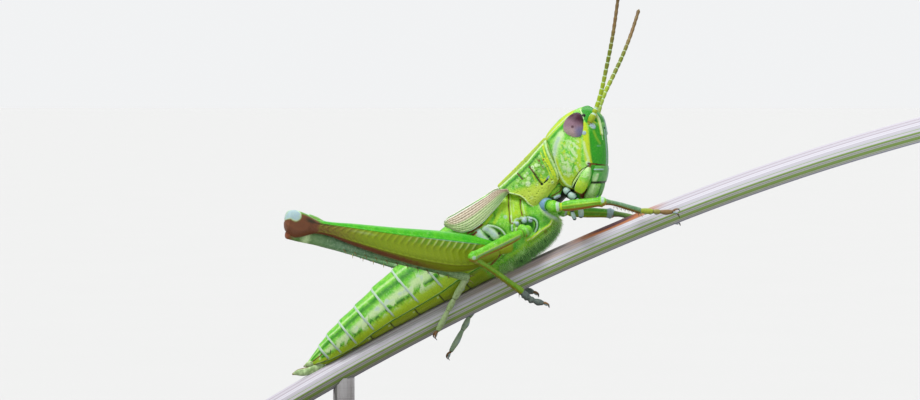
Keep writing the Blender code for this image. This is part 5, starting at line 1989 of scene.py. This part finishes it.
    def shin(self, knee: Array, ankle: Array, slim: float) -> Skin:
        """Return the shin, darker below.

        Args:
            knee: Where the thigh meets the shin.
            ankle: Where the shin meets the foot.
            slim: Half the shin's thickness.

        Returns:
            The skin.
        """
        run, up = ankle - knee, np.array(self.up)
        skin = limb_skin(
            f"{self.name}_shin",
            [knee + run * 0.01, knee + run * 0.3 + up * 0.05, knee + run * 0.7 + up * 0.03, ankle],
            girths(slim, (0.0, 0.9), (0.06, 1.05, 1.0), (0.14, 0.92, 0.9), (0.5, 0.9, 0.88),
                   (0.88, 1.0, 0.95), (1.0, 1.05, 1.0)), self.up, 60, 150, 0.92, LEVEL, 0.7)
        under = rise(np.abs(skin.across - 0.5), 0.28, 0.1)
        if self.tone is LegTone.GOLD:
            skin.wash(BLUE, (1.0 - under) * rise(skin.along, 0.05, 0.3) * 0.25)
            skin.wash(OLIVE, under * 0.9)
            skin.wash(RUST, under * 0.65)
        else:
            skin.wash(OLIVE, (1.0 - under) * 0.45)
            skin.wash(RUST, under * 0.48)
        skin.wash(PALE, rise(skin.along, 0.1, 0.04) * (1.0 - under) * 0.4)
        skin.wash(RUST, rise(skin.along, 0.9, 0.98) * 0.4)
        return skin

    def spines(self, knee: Array, ankle: Array, slim: float, finish: Finish) -> None:
        """Build two rows of spines under the shin and two spurs at its end.

        Args:
            knee: Where the thigh meets the shin.
            ankle: Where the shin meets the foot.
            slim: Half the shin's thickness.
            finish: The finish.
        """
        run = (ankle - knee) / np.linalg.norm(ankle - knee)
        above, beside = crossways(run, self.up)
        spikes = Spikes(f"{self.name}_spines")
        for turn in (-1.0, 1.0):
            for step in range(self.spine_count):
                at = knee + (ankle - knee) * (self.first_spine + self.spine_gap * step)
                base = at - above * slim * 0.7 + beside * turn * slim * 0.55
                spikes.add(base, -above * 0.9 + beside * turn * 0.5 + run * 0.5, 0.15, 0.024)
            base = ankle - above * slim * 0.6 + beside * turn * slim * 0.5
            spikes.add(base, run * 0.9 - above * 0.9 + beside * turn * 0.4, 0.34, 0.035)
        spikes.piece(finish, "brown_cuticle")


@dataclass
class JumpingLeg:
    """A hind leg: the deep thigh with its herringbone face, dark knee, thin spiny shin and pale foot."""

    name: str
    pose: LegPose
    side: Side
    chevrons: int = 32
    heel: Point = (-0.22, -0.1, -0.56)
    spine_count: int = 11
    first_spine: float = 0.3
    spine_gap: float = 0.058
    thigh_girths: tuple[Girth, ...] = girths(
        1.0, (0.0, 0.46, 0.34, 0.12), (0.05, 0.7, 0.44, 0.23), (0.1, 0.9, 0.52, 0.35),
        (0.19, 1.06, 0.58, 0.45),
        (0.31, 1.04, 0.58, 0.45), (0.5, 0.84, 0.5, 0.36), (0.7, 0.56, 0.38, 0.16), (0.82, 0.37, 0.28, 0.03),
        (0.87, 0.38, 0.3, 0.01), (0.93, 0.62, 0.38, 0.0), (0.97, 0.69, 0.38, -0.01), (1.0, 0.55, 0.34, -0.1),
    )

    def build(self, looks: Looks) -> None:
        """Build the leg's pieces."""
        coxa, hip, knee, ankle, ball, toe = self.pose.joints()
        base = limb_skin(f"{self.name}_coxa", [coxa + (coxa - hip) * 0.5, coxa, hip * 0.8 + coxa * 0.2],
                         girths(1.0, (0.0, 0.46, 0.4), (0.5, 0.52, 0.46), (1.0, 0.38, 0.36)),
                         (0.0, 0.0, 1.0), 48, 60, 0.95, LEVEL, 0.8)
        base.wash(OLIVE, rise(base.along, 0.35, 0.6) * 0.9)
        base.wash(YELLOW, rise(base.along, 0.35, 0.6) * 0.35)
        base.wash(RUST, rise(base.along, 0.45, 0.8) * 0.2)
        base.piece(looks["green"], "green_cuticle")
        self.thigh(hip, knee, looks)
        self.shin(knee + np.array(self.heel) * (1.0, self.side.value, 1.0), ankle, looks)
        foot = Foot(f"{self.name}_foot", [ankle, ball, toe], (-0.6, self.side.value * 0.35, 0.7), 0.165)
        tone = LegTone.PALE if self.side is Side.RIGHT else LegTone.TEAL
        parts = foot.build(looks["pale"], looks["horn"], tone)
        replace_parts(join(f"{self.name}_foot_skin", parts), f"{self.name}_tarsus")

    def thigh(self, hip: Array, knee: Array, looks: Looks) -> None:
        """Build the thigh with keels, the slanting ridges between them, and the knee's lobes.

        Args:
            hip: Where the thigh starts.
            knee: Where the thigh meets the shin.
            looks: All finishes by name.
        """
        run = knee - hip
        skin = limb_skin(f"{self.name}_thigh_skin",
                         [hip, hip + run * 0.3, hip + run * 0.7, knee + run * 0.02],
                         self.thigh_girths, (0.0, 0.0, 1.0), 190, 420, 0.85, LEVEL, 0.55)
        along = along_limb(skin.along)
        angle = 2.0 * math.pi * skin.across
        level = np.cos(angle)
        outward = np.sin(angle) * self.outer_sign(hip, knee)
        on_blade = rise(along, 0.06, 0.12) * rise(along, 0.9, 0.85)
        for height in (0.55, -0.58):
            skin.wash(None, hump(level, height, 0.1) * on_blade, 0.035)
        below = rise(level, 0.55, 0.45)
        face = below * rise(level, -0.55, -0.45) * on_blade
        slant = along * self.chevrons + np.abs(level - 0.02) * 1.6
        ridges = smooth_step(1.0 - np.abs((slant % 1.0) - 0.5) / 0.34)
        outer = rise(outward, 0.1, 0.4)
        skin.wash(OLIVE, below * 0.92)
        skin.wash(YELLOW, below * hump(level, -0.25, 0.55) * rise(along, 0.75, 0.45) * 0.4)
        skin.relief += 0.026 * face * ridges
        # painted light and shade on the herringbone: pale highlights on the raised ridges and painted shade
        # between them, strongest on the upper outer face near the hip, weaker over the whole face
        chevron_light_and_shade = face * outer * rise(level, 0.0, 0.25) * rise(along, 0.6, 0.35)
        skin.wash(PALE, chevron_light_and_shade * ridges * 0.34)
        skin.wash(DEEP, chevron_light_and_shade * (1.0 - ridges) * 0.42)
        skin.wash(DEEP, face * (1.0 - ridges) * 0.18)
        skin.wash(BLUE, hump(level, 0.5, 0.05) * on_blade * rise(along, 0.5, 0.3) * outer * 0.5)
        tip = rise(np.hypot((along - 0.985) / 0.038, (level - 0.62) / 0.62), 1.15, 0.55)
        rest = 1.0 - tip
        skin.wash(RUST, rise(level, -0.42, -0.85) * (0.25 + 0.6 * rise(along, 0.15, 0.6)) * on_blade)
        skin.wash(RUST, hump(level, -0.58, 0.08) * on_blade * 0.35)
        skin.wash(RUST, below * rise(along, 0.5, 0.86) * 0.55 * rest)
        skin.wash(PALE, hump(along, 0.66, 0.16) * hump(level, 0.25, 0.3) * 0.28)
        skin.wash(INK, hump(level, 0.4, 0.18) * rise(along, 0.72, 0.84) * rise(along, 0.94, 0.9) * 0.55)
        skin.wash(RUST, rise(along, 0.83, 0.89) * (0.35 + 0.65 * rise(level, 0.95, 0.6)) * rest)
        skin.wash(INK, hump(along, 0.905, 0.06) * hump(level, 0.45, 0.55) * 0.62 * rest)
        skin.wash(PALE, tip, 0.03)
        skin.wash(BLUE, tip ** 2 * 0.7)
        skin.wash(None, rise(along, 0.9, 0.95) * rise(level, -0.15, -0.45), 0.03)
        skin.relief += 0.03 * hump(along, 0.915, 0.02) * hump(level, 0.0, 0.6)
        skin.piece(looks["thigh"], "green_cuticle", (f"{self.name}_femur",))

    def outer_sign(self, hip: Array, knee: Array) -> float:
        """Return +1 if the across share rises towards the outer face at first, or else -1."""
        beside = np.cross((0.0, 0.0, 1.0), knee - hip)
        return 1.0 if beside[1] * self.side.value > 0 else -1.0

    def shin(self, heel: Array, ankle: Array, looks: Looks) -> None:
        """Build the thin shin with two rows of dark-tipped spines and the spurs at its end.

        Args:
            heel: Where the shin starts, below the knee.
            ankle: Where the shin meets the foot.
            looks: All finishes by name.
        """
        run = ankle - heel
        unit = run / np.linalg.norm(run)
        below, beside = crossways(unit, (0.0, 0.0, -1.0))
        route = [heel, heel + run * 0.05 + below * 0.04, heel + run * 0.3, heel + run * 0.7, ankle]
        skin = limb_skin(f"{self.name}_shin_skin", route,
                         girths(1.0, (0.0, 0.28, 0.24), (0.04, 0.3, 0.23, -0.05), (0.1, 0.34, 0.21, -0.13),
                                (0.18, 0.35, 0.2, -0.16), (0.28, 0.28, 0.19, -0.08), (0.4, 0.22, 0.19),
                                (0.8, 0.19, 0.18), (0.96, 0.21, 0.2), (1.0, 0.22, 0.21)),
                         -below, 48, 300, 0.9, LEVEL, 0.7)
        skin.wash(RUST, rise(skin.along, 0.1, 0.03) * 0.9)
        skin.wash(PALE, hump(skin.along, 0.13, 0.04) * 0.6)
        skin.wash(OLIVE, rise(skin.along, 0.45, 0.1) * 0.35)
        skin.wash(BLUE, hump(skin.along, 0.35, 0.45) * 0.25)
        skin.wash(PALE, rise(skin.along, 0.75, 0.98) * 0.5)
        skin.wash(RUST, hump(np.abs(skin.across - 0.5), 0.5, 0.16) * 0.35)
        skin.piece(looks["teal"], "blue_green_cuticle", (f"{self.name}_tibia",))
        spikes = Spikes(f"{self.name}_spines")
        for turn in (-1.0, 1.0):
            for step in range(self.spine_count):
                share = self.first_spine + self.spine_gap * step + (0.02 if turn > 0 else 0.0)
                base = heel + run * share + below * 0.09 + beside * turn * 0.1
                spikes.add(base, below * 0.8 + beside * turn * 0.75 + unit * 0.55, 0.34, 0.045)
            for drop, reach in ((0.06, 0.5), (-0.06, 0.38)):
                base = ankle + below * drop + beside * turn * 0.12
                aim = unit * 0.9 + beside * turn * 0.35 + below * (0.5 if drop > 0 else -0.3)
                spikes.add(base, aim, reach, 0.05)
        spikes.piece(looks["horn"], "brown_cuticle")


# ---------------------------------------------------------------- wings


@dataclass
class Wing:
    """One of the small scale-like wings: a thin veined plate on the flank."""

    axes: Axes
    side: Side
    thickness: float = 0.07
    upper: Route = (
        (11.24, 1.48), (11.45, 1.57), (12.0, 1.52), (12.93, 1.4), (13.88, 1.28), (14.75, 1.13), (15.1, 0.86),
    )
    lower: Route = (
        (11.24, 1.38), (11.56, 0.76), (12.07, 0.38), (12.72, 0.28), (13.71, 0.4),
        (14.36, 0.52), (15.1, 0.74),
    )
    veins: int = 9
    vein_height: float = 0.035
    cross_veins: float = 26.0
    cross_height: float = 0.015
    stagger: float = 0.37
    from_middle: float = 1.66
    curl: float = 0.22

    def build(self, finish: Finish) -> None:
        """Build the wing."""
        tip, hinge = self.upper[0][0], self.upper[-1][0]

        def place(across: Array, along: Array) -> Array:
            """Return points for shares across and along."""
            forward = tip + (hinge - tip) * (1.0 - np.cos(math.pi * along)) / 2.0
            high = curve_through(*zip(*self.upper), forward)
            low = curve_through(*zip(*self.lower), forward)
            up = low + (high - low) * across
            crown = 0.1 * np.sin(math.pi * across)
            curled = self.from_middle - self.curl * np.maximum(up - 0.2, 0.0) ** 1.6
            beside = curled + crown + 0.04 * (1.0 - along)
            return np.stack([forward, self.side.value * beside, up], 1)

        skin = Skin(f"forewing_{self.side.word}_blade", self.axes, 120, 170, place, wrap=False)
        fan = skin.across + 0.1 * (1.0 - skin.along) * (skin.across - 0.5)
        ribs = np.abs(((fan * self.veins) % 1.0) - 0.5)
        strong = smooth_step(1.0 - ribs / 0.11)
        outward = -1.0 if (skin.normals()[:, 1] * self.side.value).mean() < 0 else 1.0
        skin.relief += outward * self.vein_height * strong
        skin.wash("vein", strong)
        rows = (1.0 - skin.along) * self.cross_veins + np.floor(fan * self.veins) * self.stagger
        cross = np.abs((rows % 1.0) - 0.5)
        net = smooth_step(1.0 - cross / 0.12)
        skin.relief += outward * self.cross_height * net
        skin.wash("net", net)
        edge = np.minimum.reduce([skin.across, 1.0 - skin.across, skin.along * 1.4,
                                  (1.0 - skin.along) * 1.4])
        skin.wash("wing_edge", rise(edge, 0.07, 0.03))
        skin.wash("wing_upper", rise(skin.across, 0.45, 0.65) * rise(skin.along, 0.05, 0.25))
        skin.wash("wing_root", rise(skin.along, 0.8, 0.95))
        skin.wash("wing_fore", rise(skin.along, 0.45, 0.85) * rise(skin.across, 0.5, 0.3))
        piece = skin.piece(finish, "wing", (f"forewing_{self.side.word}",))
        thick = piece.modifiers.new("thickness", "SOLIDIFY")
        thick.thickness = self.thickness * MM
        thick.offset = 0.0


@dataclass(frozen=True)
class WingMembrane:
    """Pale leathery wing: pinkish above, green-white below, with brown veins and a fine net."""

    name: str = "wing membrane"
    cream: Colour = (0.64, 0.72, 0.43)
    pink: Colour = (0.7, 0.58, 0.48)
    vein_brown: Colour = (0.3, 0.17, 0.09)
    vein_green: Colour = (0.3, 0.52, 0.12)
    white: Colour = (0.76, 0.8, 0.7)
    leaf: Colour = (0.16, 0.56, 0.22)

    def make(self) -> Finish:
        """Build the material."""
        paint = Paint(self.name)
        upper = paint.mark("wing_upper")
        cloud = paint.noise(3.0, detail=4.0)
        base = paint.mix(self.cream, self.pink, (upper + (cloud - 0.5) * 0.5).eased(0.2, 0.8) * 0.8)
        rib = paint.mix(self.vein_green, self.vein_brown, upper)
        base = paint.mix(base, self.leaf, paint.mark("wing_fore") * 0.55)
        colour = paint.mix(base, rib, paint.mark("vein") * 0.6)
        colour = paint.mix(colour, rib, paint.mark("net") * 0.42)
        colour = paint.mix(colour, self.white, paint.mark("wing_edge") * 0.8)
        colour = paint.mix(colour, self.vein_brown, paint.mark("wing_root") * 0.6)
        height = paint.mark("vein") + paint.mark("net") * 0.5 + cloud * 0.5
        return paint.finish(Base_Color=colour, Roughness=0.42 + 0.15 * cloud,
                            Normal=paint.bump(height, 0.03), Coat_Weight=0.1, Coat_Roughness=0.3)


# ---------------------------------------------------------------- stem and stand


@dataclass
class Perch:
    """The dry grass stem that the insect grips, cut at both ends."""

    height: float = 11.62
    slope: float = 0.462
    sag: float = 0.0046
    ribs: int = 11
    rib_height: float = 0.02
    trims: tuple[float, float] = (0.33, 0.26)
    ends: float = 0.012
    stations: int = 400

    def build(self, finish: Finish) -> None:
        """Build the stem along the line of its solid."""
        low, high = (np.array(point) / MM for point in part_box("perch_stem"))
        radius = (high[1] - low[1]) / 2
        xs = np.linspace(low[0] + self.trims[0], high[0] - self.trims[1], self.stations)
        fine = np.stack([xs, np.zeros_like(xs), self.height + self.slope * xs - self.sag * xs ** 2], 1)

        def place(across: Array, along: Array) -> Array:
            """Return points for shares across and along."""
            inner = np.clip((along - self.ends) / (1.0 - 2.0 * self.ends), 0.0, 1.0)
            pull = np.clip(np.minimum(along, 1.0 - along) / self.ends, 0.0, 1.0)
            centre, ahead, above, beside = frames_at(fine, (0.0, 0.0, 1.0), inner)
            angle = 2.0 * math.pi * across
            wave = self.rib_height * (np.cos(angle * self.ribs) * 0.6 + np.cos(angle * 5 + 1.3) * 0.5)
            size = (radius - 0.02 + wave) * rise(pull, -0.4, 0.9)
            dish = np.where(along < 0.5, 1.0, -1.0) * 0.5 * (1.0 - pull) ** 1.5
            points = (centre + ahead * dish[:, None] + above * (np.cos(angle) * size)[:, None]
                      + beside * (np.sin(angle) * size)[:, None])
            points[:, 2] = np.maximum(points[:, 2], low[2] - 0.04)
            return points

        skin = Skin("grass_stem", LEVEL, 260, 380, place)
        angle = 2.0 * math.pi * skin.across
        level, depth = np.cos(angle), np.sin(angle)
        forward_x = skin.points[:, 0]
        veins = sum(hump(level, at, 0.045) * share for at, share in (
            (0.88, 0.9), (0.7, 1.0), (0.55, 0.7), (0.38, 1.0), (0.22, 0.5), (0.04, 0.7)))
        skin.wash("stem_lilac", rise(level, 0.45, 0.85) * 0.48 + veins * 0.85)
        skin.wash("stem_beige", rise(level, 0.3, 0.48) * hump(forward_x, -0.5, 7.0))
        skin.wash("stem_shade", rise(level, -0.84, -0.92) + hump(level, -0.64, 0.05) * 0.5)
        near = np.abs(depth)
        lines = sum(hump(level, at, wide) * share for at, wide, share in (
            (0.13, 0.05, 0.8), (-0.16, 0.13, 1.3), (-0.36, 0.05, 0.8), (-0.58, 0.2, 1.4), (-0.8, 0.06, 0.8)))
        skin.wash("stem_green", lines * rise(near, 0.05, 0.2))
        skin.wash("stem_rust", hump(forward_x, 4.2, 4.4) * rise(level, 0.55, 0.8) * 0.9)
        skin.wash("stem_core", hump(forward_x, 4.0, 2.4) * rise(level, 0.68, 0.9))
        skin.piece(finish, "dry_stem", ("perch_stem",))


@dataclass
class Stand:
    """The flat wooden base and the short steel rod, which keep their CAD solids, and the rod's collar."""

    collar_flare: tuple[float, float] = (2.1, 1.8)
    collar_height: float = 0.35
    collar_lift: float = 0.2
    collar_bevel: float = 0.07

    def dress(self, wood: Finish, steel: Finish) -> None:
        """Give the CAD solids their finishes, and the rod a collar at its foot."""
        for node, finish in (("stand_base", wood), ("stand_rod", steel)):
            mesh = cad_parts[node].data
            mesh.materials.clear()
            mesh.materials.append(finish)
        low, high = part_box("stand_rod")
        centre, radius = (low + high) / 2, (high[0] - low[0]) / 2
        shape = bmesh.new()
        wide, narrow = (radius * flare for flare in self.collar_flare)
        bmesh.ops.create_cone(shape, cap_ends=True, segments=64, radius1=wide, radius2=narrow,
                              depth=self.collar_height * MM)
        place = (centre.x, centre.y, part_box("stand_base")[1].z + self.collar_lift * MM)
        bmesh.ops.translate(shape, vec=place, verts=shape.verts)
        rims = [edge for edge in shape.edges if abs(edge.verts[0].co.z - edge.verts[1].co.z) < 1e-9]
        bmesh.ops.bevel(shape, geom=rims, offset=self.collar_bevel * MM, segments=3, profile=0.5,
                        affect="EDGES", material=-1)
        mesh = bpy.data.meshes.new("stand_collar")
        shape.to_mesh(mesh)
        shape.free()
        mesh.shade_smooth()
        mesh.set_sharp_from_angle(angle=math.radians(35.0))
        mount("stand_collar", mesh, steel)


# ---------------------------------------------------------------- studio


@dataclass
class Studio:
    """A plain pale floor under soft light, with the camera low at the insect's right side."""

    look_at: Point = (-4.4, 0.0, 15.4)
    away: float = 170.0
    elevation: float = 2.0
    sensor: float = 36.0
    view_width: float = 50.6
    floor_radius: float = 4000.0
    fill_level: float = 0.6
    backdrop_level: float = 0.9

    def build(self, board: Finish) -> None:
        """Build the floor, the lights, the world and the camera."""
        self.floor(board)
        self.world()
        self.lights()
        self.camera()

    def floor(self, board: Finish) -> None:
        """Build a wide round floor at the stand's underside."""
        shape = bmesh.new()
        bmesh.ops.create_circle(shape, cap_ends=True, segments=96, radius=self.floor_radius * MM)
        mesh = bpy.data.meshes.new("studio_floor")
        shape.to_mesh(mesh)
        shape.free()
        mesh.materials.append(board)
        floor = bpy.data.objects.new("studio_floor", mesh)
        bpy.context.scene.collection.objects.link(floor)

    def world(self) -> None:
        """Light the scene from all round with a pale even tone."""
        world = bpy.data.worlds.new("pale room")
        world.use_nodes = True
        tree = world.node_tree
        background = tree.nodes["Background"]
        background.inputs["Color"].default_value = (0.98, 0.99, 1.0, 1.0)
        path = tree.nodes.new("ShaderNodeLightPath")
        level = tree.nodes.new("ShaderNodeMapRange")
        level.inputs["To Min"].default_value = self.fill_level
        level.inputs["To Max"].default_value = self.backdrop_level
        tree.links.new(path.outputs["Is Camera Ray"], level.inputs["Value"])
        tree.links.new(level.outputs["Result"], background.inputs["Strength"])
        bpy.context.scene.world = world
        bpy.context.scene.view_settings.view_transform = "Standard"

    def lights(self) -> None:
        """Add a broad soft key from above and a weak one from the front."""
        for name, power, spread, tilt in (
            ("key", 2.7, 24.0, (-24.0, -16.0)),
            ("rim", 0.8, 50.0, (42.0, 20.0)),
        ):
            data = bpy.data.lights.new(name, "SUN")
            data.energy = power
            data.angle = math.radians(spread)
            lamp = bpy.data.objects.new(name, data)
            lamp.rotation_euler = (math.radians(-tilt[0]), math.radians(tilt[1]), 0.0)
            bpy.context.scene.collection.objects.link(lamp)

    def camera(self) -> None:
        """Place the camera at the insect's right, a little above the level."""
        rise_angle = math.radians(self.elevation)
        target = Vector(self.look_at) * MM
        stand_off = Vector((0.0, -math.cos(rise_angle), math.sin(rise_angle))) * self.away * MM
        data = bpy.data.cameras.new("camera")
        data.sensor_width = self.sensor
        data.lens = self.sensor * self.away / self.view_width
        data.clip_start = 0.001
        data.clip_end = 50.0
        camera = bpy.data.objects.new("camera", data)
        camera.location = target + stand_off
        camera.rotation_euler = (-stand_off).to_track_quat("-Z", "Y").to_euler()
        bpy.context.scene.collection.objects.link(camera)
        bpy.context.scene.camera = camera


# ---------------------------------------------------------------- whole model

POSES: dict[str, LegPose] = {
    "foreleg_right": LegPose((0.35, -1.1, 15.18), (0.85, -1.62, 15.06), (3.36, -2.3, 15.4),
                             (5.38, -1.12, 14.86), (6.32, -1.06, 14.8), (7.24, -1.06, 14.78)),
    "foreleg_left": LegPose((0.8, 1.0, 14.95), (1.26, 1.5, 14.72), (4.06, 2.1, 14.58),
                            (5.96, 1.16, 14.18), (6.7, 1.06, 14.12), (7.42, 0.98, 14.1)),
    "midleg_right": LegPose((-1.1, -1.35, 14.05), (-0.81, -1.9, 13.78), (-3.76, -4.0, 12.45),
                            (-1.06, -1.15, 10.46), (-0.57, -1.06, 10.02), (0.15, -1.0, 9.78)),
    "midleg_left": LegPose((-1.1, 1.35, 13.9), (-0.95, 1.9, 13.55), (-3.27, 4.0, 12.5),
                           (-1.41, 1.18, 10.76), (-0.95, 1.08, 10.5), (-0.35, 1.0, 10.25)),
    "hindleg_right": LegPose((-1.75, -1.3, 13.1), (-2.45, -1.85, 12.78), (-13.27, -6.4, 14.38),
                             (-4.02, -1.62, 11.24), (-4.84, -1.12, 9.8), (-5.66, -1.06, 8.2)),
    "hindleg_left": LegPose((-1.75, 1.3, 12.95), (-2.45, 1.85, 12.68), (-13.22, 6.0, 13.7),
                            (-3.29, 1.42, 10.3), (-3.98, 1.16, 8.7), (-4.95, 0.98, 6.9)),
}

FINISHES = {
    "green": Cuticle("body cuticle", (0.07, 0.43, 0.014), (0.24, 0.64, 0.05), olive=(0.27, 0.38, 0.008),
                     yellow=(0.46, 0.68, 0.02), blue=(0.42, 0.54, 0.64), clouds=2.4),
    "hip": Cuticle("hip cuticle", (0.07, 0.43, 0.014), (0.24, 0.64, 0.05), yellow=(0.46, 0.68, 0.02),
                   blue=(0.17, 0.33, 0.5), clouds=2.4),
    "hair": Cuticle("hair", (0.38, 0.68, 0.22), (0.52, 0.76, 0.36), deep=(0.27, 0.6, 0.16),
                    yellow=(0.5, 0.7, 0.16), ink=(0.18, 0.46, 0.12), speckle=0.2, pores=0.0),
    "plate": Cuticle("pronotum cuticle", (0.1, 0.44, 0.03), (0.3, 0.62, 0.06), clouds=2.8, pits=7.0,
                     pores=0.7, pit_depth=0.05),
    "face": Cuticle("head cuticle", (0.12, 0.54, 0.03), (0.34, 0.72, 0.1), deep=(0.018, 0.3, 0.006),
                    clouds=1.7, speckle=0.85),
    "limb": Cuticle("leg cuticle", (0.09, 0.44, 0.008), (0.19, 0.58, 0.025), rust=(0.34, 0.13, 0.018),
                    pits=16.0, pit_depth=0.01),
    "thigh": Cuticle("jumping thigh cuticle", (0.03, 0.38, 0.002), (0.08, 0.47, 0.006),
                     olive=(0.2, 0.29, 0.003), yellow=(0.3, 0.42, 0.006), rust=(0.15, 0.052, 0.02),
                     speckle=0.15, pits=16.0, pit_depth=0.01),
    "teal": Cuticle("blue-green cuticle", (0.08, 0.21, 0.06), (0.17, 0.33, 0.14), pits=16.0,
                    olive=(0.14, 0.24, 0.015), pit_depth=0.01),
    "pale": Cuticle("pale cuticle", (0.28, 0.42, 0.15), (0.44, 0.56, 0.3), pits=16.0, pit_depth=0.01),
    "horn": Cuticle("horn cuticle", (0.2, 0.18, 0.05), (0.32, 0.26, 0.1), olive=(0.16, 0.2, 0.012),
                    yellow=(0.3, 0.42, 0.01), rust=(0.2, 0.085, 0.035), pits=18.0, pit_depth=0.008,
                    roughness=0.42),
    "eye": EyeShine(),
    "wing": WingMembrane(),
    "stem": DryStem(),
    "wood": StainedWood(),
    "steel": BrushedSteel(),
    "board": StudioFloor(),
}


def main() -> None:
    """Build the grasshopper, its perch, its stand and the studio, in order."""
    logging.basicConfig(level=logging.INFO, format="%(name)s: %(message)s", stream=sys.stdout)
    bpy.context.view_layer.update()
    looks = {name: finish.make() for name, finish in FINISHES.items()}
    layout = Layout()
    body, head = layout.body(), layout.head()

    trunk = Trunk(body)
    trunk.build(looks["green"], looks["hair"])
    trunk.valves(looks["pale"])
    Pronotum(body).build(looks["plate"])
    skull = Head(head)
    skull.capsule(looks["face"])
    skull.eyes(looks["eye"], looks["horn"])
    skull.face(looks["face"])
    skull.jaws(looks["face"])
    skull.mouth_feelers(looks["pale"])
    skull.feelers(looks["horn"])
    for name, tone in (("foreleg_right", LegTone.GOLD), ("foreleg_left", LegTone.TEAL),
                       ("midleg_right", LegTone.DARK), ("midleg_left", LegTone.DARK)):
        WalkingLeg(name, POSES[name], tone).build(looks)
    for side in Side:
        name = f"hindleg_{side.word}"
        JumpingLeg(name, POSES[name], side).build(looks)
        Wing(body, side).build(looks["wing"])
    Perch().build(looks["stem"])
    Stand().dress(looks["wood"], looks["steel"])
    Studio().build(looks["board"])


if __name__ == "__main__":
    main()
